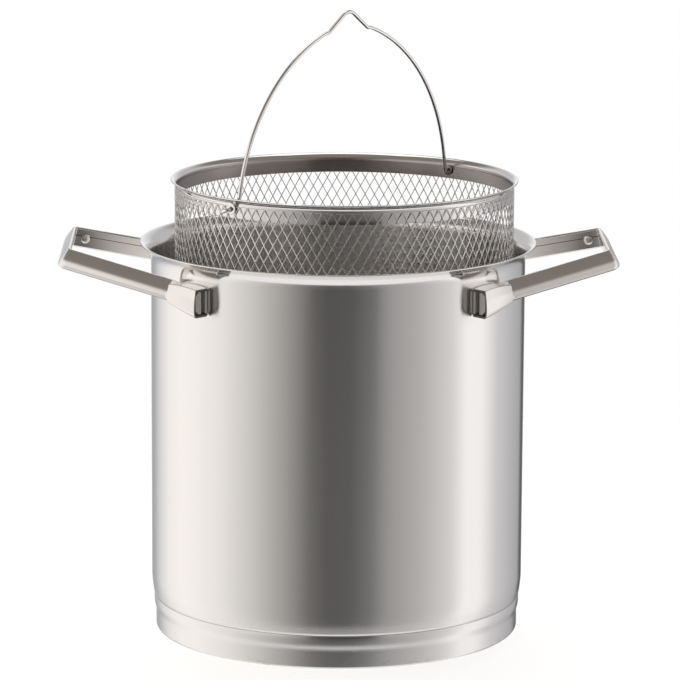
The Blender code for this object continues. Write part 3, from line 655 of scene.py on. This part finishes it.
def pot_profile():
    """From the middle of the bottom up the wall, drawn in above the base, to the rim."""
    tuck = arc((TUCK_RADIUS - CORNER_RADIUS, SHELL_BOTTOM + CORNER_RADIUS),
               CORNER_RADIUS, -0.5 * pi, 0.0, BOTTOM_CORNER_STEPS)
    bottom = SEAM_HEIGHT + TOUCH_GAP
    draw_in = []
    for i in range(DRAW_IN_STEPS, -1, -1):
        share = i / DRAW_IN_STEPS
        height = DRAW_IN_HEIGHT - (DRAW_IN_HEIGHT - bottom) * share
        draw_in.append((POT_RADIUS - DRAW_IN * share ** 2, height))
    curl_start = POT_RIM_TOP - (RIM_CURL + POT_WALL) * sin(RIM_SWEEP)
    middle = (POT_RADIUS + RIM_CURL, curl_start)
    curl = arc(middle, RIM_CURL, pi, pi - RIM_SWEEP, RIM_CURL_STEPS)
    return sheet_profile([(0.0, SHELL_BOTTOM)] + tuck + draw_in + curl, POT_WALL)


def build_pot():
    bm = turned_mesh(pot_profile(), TURN_STEPS)
    piece = store("pot_wall", bm, wall_steel(), CRISP_TURNED)
    place(piece, "pot", "pot_steel", "pot_body")


def smooth_step(share):
    return share * share * (3.0 - 2.0 * share)


def cap_profile():
    """From the middle of the underside round its edge and out to the seam."""
    centre = (CAP_RADIUS - CAP_EDGE_RADIUS, CAP_EDGE_RADIUS)
    edge = arc(centre, CAP_EDGE_RADIUS, -0.5 * pi, 0.0, CAP_EDGE_STEPS)
    widening = []
    for i in range(CAP_WIDENING_STEPS + 1):
        share = i / CAP_WIDENING_STEPS
        radius = CAP_RADIUS + (SEAM_RADIUS - CAP_RADIUS) * smooth_step(share)
        widening.append((radius, CAP_SIDE_TOP + (CAP_WIDEST - CAP_SIDE_TOP) * share))
    collar_top = (SEAM_RADIUS, SEAM_HEIGHT - TOUCH_GAP)
    return sheet_profile([(0.0, 0.0)] + edge + widening + [collar_top], CAP_WALL)


def build_base():
    bm = turned_mesh(cap_profile(), TURN_STEPS)
    piece = store("capsule_cap", bm, cap_steel(), CRISP_TURNED)
    place(piece, "pot", "base_steel", "base_cap")


# Handles

class Station:
    """One place along a handle: centre, outward normal in plan, and the state of the section."""

    def __init__(self, place_in_plan, outward, pad=0.0, along=0.0):
        self.place = place_in_plan
        self.outward = outward
        self.pad = pad
        self.along = along

    def flipped(self):
        across = Vector((self.place.x, -self.place.y))
        return Station(across, Vector((self.outward.x, -self.outward.y)), self.pad, self.along)

    def point(self, depth, height):
        slope = tan(HANDLE_RISE)
        free = 1.0 - self.pad
        level = HANDLE_LEVEL + slope * (self.place.x - PAD_CENTRE_RADIUS * cos(PAD_END))
        normal = Vector((self.outward.x, self.outward.y, free * slope * self.outward.x)).normalized()
        lean = Vector((-sin(HANDLE_RISE), 0.0, cos(HANDLE_RISE)))
        upward = lean.lerp(Vector((0.0, 0.0, 1.0)), self.pad).normalized()
        return Vector((self.place.x, self.place.y, level)) + normal * depth + upward * height

    def half_heights(self, inset=0.0):
        bulge = 1.0 - (1.0 - self.along) ** 2
        waist = PAD_WAIST * self.pad * (1.0 - self.along)
        top = 0.5 * HANDLE_HEIGHT + PAD_FLARE_UP * bulge - inset
        bottom = 0.5 * HANDLE_HEIGHT + PAD_FLARE_DOWN * self.along - waist - inset
        return top, -bottom


def heading_vector(angle):
    return Vector((cos(angle), sin(angle)))


def left_of(angle):
    return Vector((-sin(angle), cos(angle)))


def pad_stations(first=PAD_START, last=PAD_END):
    """Stations along the wall, from the pad's open end towards the arm."""
    stations = []
    for i in range(PAD_STEPS + 1):
        angle = first + (last - first) * i / PAD_STEPS
        outward = heading_vector(angle)
        along = min((angle - PAD_END) / (PAD_START - PAD_END), 1.0)
        stations.append(Station(outward * PAD_CENTRE_RADIUS, outward, 1.0, along))
    return stations


def arm_corners():
    """In plan: where the pad meets the arm, the arm's heading, and the loop's corner."""
    along_pad = PAD_END - 0.5 * pi
    start = heading_vector(PAD_END) * PAD_CENTRE_RADIUS
    bend_corner = start + heading_vector(along_pad) * (ARM_BEND_RADIUS * tan(0.5 * ARM_TURN))
    heading = along_pad + ARM_TURN
    along_arm = heading_vector(heading)
    run = (HANDLE_REACH - HALF_DEPTH - bend_corner.x) / along_arm.x
    return start, heading, bend_corner + along_arm * run


def half_loop():
    """Stations of one half of a loop, from the pad's open end to the outer bar."""
    start, heading, corner = arm_corners()
    along_pad = PAD_END - 0.5 * pi
    stations = pad_stations()
    centre = start + left_of(along_pad) * ARM_BEND_RADIUS
    for i in range(1, BEND_STEPS + 1):
        outward = left_of(along_pad + ARM_TURN * i / BEND_STEPS)
        pad = 1.0 - smooth_step(i / BEND_STEPS)
        stations.append(Station(centre - outward * ARM_BEND_RADIUS, outward, pad))
    swing = heading + 0.5 * pi
    entry = corner - heading_vector(heading) * (LOOP_CORNER_RADIUS * tan(0.5 * swing))
    centre = entry - left_of(heading) * LOOP_CORNER_RADIUS
    for i in range(CORNER_STEPS + 1):
        outward = left_of(heading - swing * i / CORNER_STEPS)
        stations.append(Station(centre + outward * LOOP_CORNER_RADIUS, outward))
    return stations


def tube_section(station):
    """The folded tube's section: round the outside from lip to lip, and back inside."""
    pad = station.pad
    inner = -HALF_DEPTH
    outer = HALF_DEPTH + PAD_EXTRA_DEPTH * pad
    top, bottom = station.half_heights()
    seam_top = HANDLE_SEAM_LIFT + 0.5 * HANDLE_SEAM_WIDTH
    seam_bottom = HANDLE_SEAM_LIFT - 0.5 * HANDLE_SEAM_WIDTH
    upper_lip = seam_top * (1.0 - pad) + (top - LIP_STUB) * pad
    lower_lip = seam_bottom * (1.0 - pad) + (bottom + LIP_STUB) * pad
    outside = [(inner, upper_lip), (inner, top - HANDLE_EDGE), (inner + HANDLE_EDGE, top)]
    radii = [ROUND_EDGE, ROUND_EDGE]
    for free_inset, pad_inset, height, radius in OUTER_SIDE:
        inset = HANDLE_DEPTH * (free_inset * (1.0 - pad) + pad_inset * pad)
        outside.append((outer - inset, height * (top if height > 0.0 else -bottom)))
        radii.append(radius)
    outside += [(inner + HANDLE_EDGE, bottom), (inner, bottom + HANDLE_EDGE), (inner, lower_lip)]
    radii += [ROUND_EDGE, ROUND_EDGE]
    inside = offset_line(outside, HANDLE_WALL)
    bent = rounded([(depth, height, 0.0) for depth, height in outside], radii, EDGE_BEND_STEPS)
    section = [(point.x, point.y) for point in bent] + inside[::-1]
    return [station.point(depth, height) for depth, height in section]


def swept_mesh(rings):
    """A bmesh of one face of points carried from ring to ring, with both ends closed."""
    bm = bmesh.new()
    face = bm.faces.new([bm.verts.new(point) for point in rings[0]])
    for before, after in zip(rings, rings[1:]):
        made = bmesh.ops.extrude_face_region(bm, geom=[face])["geom"]
        if before is not rings[0]:
            bmesh.ops.delete(bm, geom=[face], context="FACES_ONLY")
        face = next(item for item in made if isinstance(item, bmesh.types.BMFace))
        moved = {tuple(vert.co): vert for vert in face.verts}
        for old, new in zip(before, after):
            moved[tuple(Vector(old))].co = new
    clean(bm)
    return bm


def bar_mesh(stations, near, far, inset):
    """A bar along a pad between two depths, set in from the shell's outer flanges."""
    rings = []
    for station in stations:
        top, bottom = station.half_heights(inset)
        section = [(near, top), (far - BRACKET_BEVEL, top), (far, top - BRACKET_BEVEL),
                   (far, bottom + BRACKET_BEVEL), (far - BRACKET_BEVEL, bottom), (near, bottom)]
        rings.append([station.point(depth, height) for depth, height in section])
    return swept_mesh(rings)


def rivet_place(rear):
    """Where a rivet crosses the tube's inner face, with +Z into the tube."""
    start, heading, corner = arm_corners()
    swing = heading + 0.5 * pi
    back = RIVET_CORNER_RADIUS * tan(0.5 * swing) + RIVET_SET_BACK + RIVET_HEAD_RADIUS
    station = Station(corner - heading_vector(heading) * back, left_of(heading))
    if not rear:
        station = station.flipped()
    foot = station.point(-HALF_DEPTH, 0.0)
    inward = (station.point(0.0, 0.0) - foot).normalized()
    return Matrix.Translation(foot) @ inward.to_track_quat("Z", "Y").to_matrix().to_4x4()


def rivet_profile():
    """A spool: domed head outside, shank through the fold, flat tail inside."""
    head = -TOUCH_GAP
    tail = HANDLE_WALL + TOUCH_GAP
    dome = []
    for i in range(DOME_STEPS + 1):
        turn = 0.5 * pi * i / DOME_STEPS
        dome.append((RIVET_HEAD_RADIUS * sin(turn), head - RIVET_HEAD_HEIGHT * cos(turn)))
    return dome + [(RIVET_SHANK_RADIUS, head), (RIVET_SHANK_RADIUS, tail), (RIVET_TAIL_RADIUS, tail),
                   (RIVET_TAIL_RADIUS, tail + RIVET_TAIL_HEIGHT), (0.0, tail + RIVET_TAIL_HEIGHT)]


def build_handles():
    """The right handle as drawn, and the left one as the same handle turned half round."""
    rear_half = half_loop()
    loop = rear_half + [station.flipped() for station in reversed(rear_half)]
    tube_finish, bracket_finish, rivet_finish = handle_steel(), bracket_steel(), rivet_steel()
    far = HALF_DEPTH + PAD_EXTRA_DEPTH - HANDLE_WALL - 3.0 * TOUCH_GAP
    first = PAD_START - BRACKET_SET_BACK / PAD_CENTRE_RADIUS
    block = pad_stations(first, PAD_END + TOUCH_GAP / PAD_CENTRE_RADIUS)
    slot = pad_stations(first + HANDLE_DEPTH / PAD_CENTRE_RADIUS,
                        first - BRACKET_SLOT_LENGTH / PAD_CENTRE_RADIUS)
    for side, angle in (("right", 0.0), ("left", pi)):
        turn = Matrix.Rotation(angle, 4, "Z")
        bm = swept_mesh([tube_section(station) for station in loop])
        move(bm, turn)
        tube = store(side + "_handle_tube", bm, tube_finish, CRISP_TUBE)
        holes = []
        for end in ("front", "rear"):
            rear = (end == "rear") == (side == "right")
            bar, gap = block, slot
            if not rear:
                bar, gap = [[station.flipped() for station in row] for row in (block, slot)]
            bm = bar_mesh(bar, -HALF_DEPTH, far, LIP_STUB + TOUCH_GAP)
            move(bm, turn)
            bracket = store(side + "_" + end + "_bracket", bm, bracket_finish)
            tool = bar_mesh(gap, -HALF_DEPTH + BRACKET_PLATE, far - BRACKET_LEG, -HANDLE_DEPTH)
            move(tool, turn)
            cut(bracket, [tool])
            place(bracket, "pot", "bracket_steel", "handle_" + side + "_bracket_" + end)
            bm = turned_mesh(rivet_profile(), SMALL_TURN_STEPS)
            move(bm, turn @ rivet_place(rear))
            rivet = store(side + "_" + end + "_rivet", bm, rivet_finish)
            place(rivet, "pot", "handle_steel", "handle_" + side + "_rivet_" + end)
            reach = HANDLE_WALL + RIVET_HEAD_RADIUS
            bore = RIVET_SHANK_RADIUS + TOUCH_GAP
            hole = pin_mesh(bore, reach)
            move(hole, turn @ rivet_place(rear))
            holes.append(hole)
        cut(tube, holes)
        flat = tube.modifiers.new("flat faces", "WEIGHTED_NORMAL")
        flat.keep_sharp = True
        place(tube, "pot", "handle_steel", "handle_" + side + "_shell")


# Basket

def across_basket():
    """The eyelets' line: its +Z runs along the hinge axis."""
    turn = HINGE_AXIS.to_track_quat("Z", "Y").to_matrix().to_4x4()
    return Matrix.Translation(HINGE_PLACE) @ turn


def build_band(finish):
    curl_start = BASKET_TOP - (LIP_CURL + BAND_WALL) * sin(LIP_SWEEP)
    middle = (BAND_RADIUS + LIP_CURL, curl_start)
    curl = arc(middle, LIP_CURL, pi, pi - LIP_SWEEP, LIP_CURL_STEPS)
    profile = sheet_profile([(BAND_RADIUS, BAND_BOTTOM)] + curl, BAND_WALL)
    bm = turned_mesh(profile, TURN_STEPS, closed=True)
    move(bm, Matrix.Translation(BASKET_CENTRE))
    band = store("rim_band", bm, finish, CRISP_TURNED)
    tool = pin_mesh(TUBE_RADIUS + TOUCH_GAP, 1.5 * BAND_RADIUS)
    move(tool, across_basket())
    cut(band, [tool])
    place(band, "basket", "basket_steel", "basket_rim_band")


def near_eyelet(point):
    """Whether a point lies where an eyelet's tube passes through the mesh."""
    arm = point - HINGE_PLACE
    return (arm - HINGE_AXIS * arm.dot(HINGE_AXIS)).length < EYELET_FLANGE_RADIUS - TOUCH_GAP


def build_mesh_wall(finish):
    """Expanded metal: strands round diamond openings, wrapped on the outside of the bands."""
    bottom = base_low.z + TOUCH_GAP
    top = BASKET_TOP - MESH_TOP_GAP
    rows = round((top - bottom) / (0.5 * MESH_OPENING_HEIGHT))
    pitch = 2.0 * pi / MESH_COLUMNS
    bm = bmesh.new()
    knots = {}

    def knot(column, row):
        key = (column % (2 * MESH_COLUMNS), min(max(row, 0), rows))
        if key not in knots:
            angle = 0.5 * pitch * key[0]
            height = bottom + (top - bottom) * key[1] / rows
            spot = Vector((MESH_RADIUS * cos(angle), MESH_RADIUS * sin(angle), height))
            knots[key] = bm.verts.new(BASKET_CENTRE + spot)
        return knots[key]

    for row in range(rows + 1):
        for column in range(row % 2, 2 * MESH_COLUMNS, 2):
            bm.faces.new((knot(column + 1, row), knot(column, row + 1),
                          knot(column - 1, row), knot(column, row - 1)))
    bm.normal_update()
    openings = bm.faces[:]
    bmesh.ops.inset_individual(bm, faces=openings, thickness=0.5 * MESH_STRAND,
                               use_even_offset=True)
    # Each strand leans: an opening's upper edge stands out and its lower edge in.
    for opening in openings:
        middle = opening.calc_center_median()
        outward = Vector((middle.x - BASKET_CENTRE.x, middle.y - BASKET_CENTRE.y, 0.0)).normalized()
        for vert in opening.verts:
            share = (vert.co.z - middle.z) / (0.5 * MESH_OPENING_HEIGHT)
            vert.co += outward * (MESH_TILT * (share + 1.0))
    bmesh.ops.delete(bm, geom=openings, context="FACES")
    cleared = [face for face in bm.faces if near_eyelet(face.calc_center_median())]
    bmesh.ops.delete(bm, geom=cleared, context="FACES")
    clean(bm)
    wall = store("expanded_metal", bm, finish, CRISP_STRANDS)
    solidify = wall.modifiers.new("strand", "SOLIDIFY")
    solidify.thickness = MESH_THICKNESS
    solidify.offset = 1.0
    panels = [name for name in frame["nodes"] if name.startswith("basket_wall_panel")]
    place(wall, "basket", "mesh_steel", *panels)


def build_floor(finish):
    half = 0.5 * FLOOR_WALL
    middle = (BAND_INSIDE - TOUCH_GAP - half, floor_low.z + half)
    edge = arc(middle, half, -0.5 * pi, 0.5 * pi, FLOOR_EDGE_STEPS)
    bm = turned_mesh([(0.0, floor_low.z)] + edge + [(0.0, floor_low.z + FLOOR_WALL)], TURN_STEPS)
    move(bm, Matrix.Translation(BASKET_CENTRE))
    floor = store("pierced_floor", bm, finish, CRISP_TURNED)
    pins = bmesh.new()
    for ring in range(FLOOR_HOLE_RINGS + 1):
        count = max(1, 6 * ring)
        for i in range(count):
            spot = heading_vector(2.0 * pi * i / count) * (ring * FLOOR_HOLE_PITCH)
            stand = Matrix.Translation(BASKET_CENTRE + Vector((spot.x, spot.y, floor_low.z)))
            bmesh.ops.create_cone(pins, cap_ends=True, segments=SMALL_TURN_STEPS, matrix=stand,
                                  radius1=FLOOR_HOLE_RADIUS, radius2=FLOOR_HOLE_RADIUS,
                                  depth=6.0 * FLOOR_WALL)
    cut(floor, [pins])
    place(floor, "basket", "basket_steel", "basket_floor")


def build_rings(finish):
    band = ring_mesh(BAND_RADIUS, BAND_WALL, base_low.z, base_high.z)
    foot = ring_mesh(FOOT_RADIUS, FOOT_WALL, foot_low.z, foot_high.z)
    rings = (("lower_band", band, "basket_base_band"), ("foot", foot, "basket_foot_ring"))
    for name, bm, node in rings:
        move(bm, Matrix.Translation(BASKET_CENTRE))
        place(store(name, bm, finish), "basket", "basket_steel", node)


def build_eyelets(finish):
    """Flanged tubes with rolled flanges through the band and the mesh."""
    inner_face = BAND_INSIDE - TOUCH_GAP
    outer_face = MESH_OUTSIDE + TOUCH_GAP
    start = inner_face - EYELET_FLANGE
    end = outer_face + EYELET_FLANGE
    half = 0.5 * EYELET_FLANGE
    inner_roll, outer_roll = [
        arc((EYELET_FLANGE_RADIUS - half, height), half, -0.5 * pi, 0.5 * pi, FLANGE_STEPS)
        for height in (start + half, end - half)]
    tube = [(TUBE_RADIUS, inner_face), (TUBE_RADIUS, outer_face)]
    profile = [(BORE_RADIUS, start)] + inner_roll + tube + outer_roll + [(BORE_RADIUS, end)]
    for end_name, turn in (("rear", 0.0), ("front", pi)):
        bm = turned_mesh(profile, SMALL_TURN_STEPS, closed=True)
        move(bm, across_basket() @ Matrix.Rotation(turn, 4, "X"))
        piece = store(end_name + "_eyelet", bm, finish)
        place(piece, "basket", "basket_steel", "bail_eyelet_" + end_name)


# Bail

def rounded(points, radii, steps):
    """A polyline in space with an arc of the given radius at each inner corner."""
    points = [Vector(point) for point in points]
    path = [points[0]]
    for before, corner, after, radius in zip(points, points[1:], points[2:], radii):
        into = (corner - before).normalized()
        away = (after - corner).normalized()
        turn = into.angle(away)
        if radius <= 0.0 or turn < STRAIGHT:
            path.append(corner)
            continue
        reach = radius * tan(0.5 * turn)
        centre = corner + (away - into).normalized() * (radius / cos(0.5 * turn))
        start = corner - into * reach - centre
        side = start.cross(corner + away * reach - centre).normalized()
        for i in range(steps + 1):
            path.append(centre + Matrix.Rotation(turn * i / steps, 3, side) @ start)
    path.append(points[-1])
    return path


def bail_half(sign, tail_end):
    """Half of the bail in its own plane, from the tail outside the band up to the apex."""
    leg = BAND_INSIDE - BAIL_LEG_GAP - BAIL_WIRE
    tail = LIP_RADIUS + BAIL_TAIL_GAP + BAIL_WIRE
    inward = leg - BAIL_SHOULDER_HALF
    sag = inward * cos(BAIL_FOOT_LEAN) - BAIL_SHOULDER_HEIGHT * sin(BAIL_FOOT_LEAN)
    radius = 0.5 * (inward ** 2 + BAIL_SHOULDER_HEIGHT ** 2) / sag
    centre = (leg - radius * cos(BAIL_FOOT_LEAN), -radius * sin(BAIL_FOOT_LEAN))
    shoulder = asin((BAIL_SHOULDER_HEIGHT - centre[1]) / radius)
    arch = arc(centre, radius, BAIL_FOOT_LEAN, shoulder, ARCH_STEPS)
    crown = BAIL_HUMP_FOOT_HEIGHT + BAIL_HUMP_HALF * tan(BAIL_HUMP_SLOPE)
    flat = arch + [(BAIL_HUMP_HALF, BAIL_HUMP_FOOT_HEIGHT), (0.0, crown)]
    points = [tail_end, (tail, 0.0, 0.0)] + [(x, 0.0, z) for x, z in flat]
    radii = [BAIL_HOOK_RADIUS, BAIL_HOOK_RADIUS] + [0.0] * (len(arch) - 2)
    radii += [BAIL_SHOULDER_RADIUS, BAIL_SHOULDER_RADIUS]
    return [Vector((sign * x, y, z)) for x, y, z in points], radii


def build_bail():
    """A round wire: the rear tail stands up, and the front one is bent aside."""
    tail = LIP_RADIUS + BAIL_TAIL_GAP + BAIL_WIRE
    rear, radii = bail_half(1.0, (tail, 0.0, BAIL_TAIL_LENGTH))
    front, radii = bail_half(-1.0, (tail, BAIL_TAIL_LENGTH * cos(BAIL_TAIL_DROP),
                                    -BAIL_TAIL_LENGTH * sin(BAIL_TAIL_DROP)))
    path = rounded(rear + front[-2::-1], radii + [BAIL_APEX_RADIUS] + radii[::-1], WIRE_BEND_STEPS)
    azimuth = Matrix.Rotation(atan2(HINGE_AXIS.y, HINGE_AXIS.x), 4, "Z")
    stand = Matrix.Translation(HINGE_PLACE) @ azimuth @ Matrix.Rotation(BAIL_LEAN, 4, "X")
    curve = bpy.data.curves.new("bail_wire", "CURVE")
    curve.dimensions = "3D"
    curve.bevel_depth = BAIL_WIRE
    curve.bevel_resolution = 6
    curve.use_fill_caps = True
    spline = curve.splines.new("POLY")
    spline.points.add(len(path) - 1)
    for knot, point in zip(spline.points, path):
        knot.co = (*(stand @ point), 1.0)
    spline.use_smooth = True
    curve.materials.append(wire_steel())
    piece = bpy.data.objects.new("bail_wire", curve)
    scene.collection.objects.link(piece)
    place(piece, "bail", "wire_steel", "bail")


# Studio and camera

def build_world():
    """Plain white, which the steel shows wherever the tent is open."""
    world = bpy.data.worlds.new("studio")
    scene.world = world
    world.use_nodes = True
    sheet = Sheet(world.node_tree)
    background = world.node_tree.nodes["Background"]
    sheet.feed(background.inputs["Color"], (1.0, 1.0, 1.0))
    sheet.feed(background.inputs["Strength"], 1.0)


def build_tent():
    """A glowing tent that only the pieces see, with a black card round the camera."""
    profile = arc((0.0, 0.0), TENT_RADIUS, TENT_LOWEST, 0.5 * pi, TENT_RINGS)
    bm = turned_mesh(profile, TENT_SECTORS)
    material = bpy.data.materials.new("tent cloth")
    material.use_nodes = True
    sheet = Sheet(material.node_tree)
    x, y, z = sheet.parts(sheet.node("ShaderNodeTexCoord", output=3))
    azimuth = x.maths("ARCTAN2", x, y * -1.0) * (180.0 / pi)
    rise = z * (1.0 / TENT_RADIUS)
    left, right = CARD_SIDES
    bottom, top = CARD_HEIGHTS
    card = azimuth.between(left - CARD_SOFTNESS, left)
    card = card * azimuth.between(right + CARD_SOFTNESS, right)
    card = card * rise.between(bottom - 0.006, bottom + 0.006) * rise.between(top + 0.02, top)
    low, high = [sheet.round_tones(azimuth, tones) for tones in (LOW_TONES, HIGH_TONES)]
    walls = sheet.mix(rise.between(*HIGH_EDGE), low, high)
    cloth = sheet.mix(rise.between(*CEILING_EDGE), walls, CEILING_TONE)
    glow = sheet.node("ShaderNodeEmission", None, (sheet.mix(card, cloth, CARD_TONE), 1.0))
    sheet.feed(material.node_tree.nodes["Material Output"].inputs["Surface"], glow)
    tent = store("tent", bm, material)
    tent.matrix_world = Matrix.Rotation(CAMERA_AZIMUTH, 4, "Z")
    tent.visible_camera = False
    tent.visible_transmission = False
    tent.visible_shadow = False


def build_softbox():
    """One overhead lamp, a little behind the pot."""
    lamp = bpy.data.lights.new("overhead softbox", "AREA")
    lamp.shape = "SQUARE"
    lamp.size = SOFTBOX_SIZE
    lamp.energy = SOFTBOX_RADIANCE * pi * SOFTBOX_SIZE ** 2
    holder = bpy.data.objects.new("overhead_softbox", lamp)
    scene.collection.objects.link(holder)
    holder.location = SOFTBOX_PLACE
    aim = Vector((0.0, 0.0, 0.2)) - holder.location
    holder.rotation_euler = aim.to_track_quat("-Z", "Y").to_euler()


def build_ground():
    """A pale floor that keeps the pot's shadow and fades into the white round it."""
    bm = bmesh.new()
    bmesh.ops.create_circle(bm, cap_ends=True, segments=96, radius=GROUND_RADIUS)
    material = bpy.data.materials.new("pale floor")
    material.use_nodes = True
    sheet = Sheet(material.node_tree)
    x, y, z = sheet.parts(sheet.node("ShaderNodeTexCoord", output=3))
    fade = (x * x + y * y).root().between(*GROUND_FADE)
    paper = sheet.node("ShaderNodeBsdfDiffuse", None, {"Color": (0.97, 0.97, 0.97)})
    seen = sheet.node("ShaderNodeLightPath", output=0)
    glow = sheet.node("ShaderNodeEmission", None, ((1.0, 1.0, 1.0), seen * GROUND_LIFT))
    paper = sheet.node("ShaderNodeAddShader", None, (paper, glow))
    clear = sheet.node("ShaderNodeBsdfTransparent")
    blend = sheet.node("ShaderNodeMixShader", None, (fade, paper, clear))
    output = material.node_tree.nodes["Material Output"]
    sheet.feed(output.inputs["Surface"], blend)
    ground = store("ground", bm, material)
    ground.visible_glossy = False


def build_camera():
    camera = bpy.data.cameras.new("camera")
    camera.sensor_width = SENSOR_WIDTH
    camera.lens = CAMERA_FOCAL_PIXELS * SENSOR_WIDTH / PHOTO_WIDTH
    camera.shift_y = CAMERA_SHIFT_PIXELS / PHOTO_WIDTH
    camera.clip_end = 20.0
    holder = bpy.data.objects.new("camera", camera)
    scene.collection.objects.link(holder)
    tilt = Matrix.Rotation(0.5 * pi - CAMERA_PITCH, 4, "X") @ Matrix.Rotation(CAMERA_ROLL, 4, "Z")
    round_pot = Matrix.Rotation(CAMERA_AZIMUTH, 4, "Z")
    holder.matrix_world = round_pot @ Matrix.Translation(CAMERA_PLACE) @ tilt
    scene.camera = holder


def main():
    scene.view_settings.view_transform = "Standard"
    build_camera()
    build_world()
    build_tent()
    build_softbox()
    build_ground()
    build_pot()
    build_base()
    build_handles()
    basket_finish = band_steel()
    build_band(basket_finish)
    build_mesh_wall(strand_steel())
    build_floor(basket_finish)
    build_rings(basket_finish)
    build_eyelets(basket_finish)
    build_bail()
    aluminium = core_metal()
    for socket in frame["nodes"]["base_core"].material_slots:
        socket.material = aluminium


main()
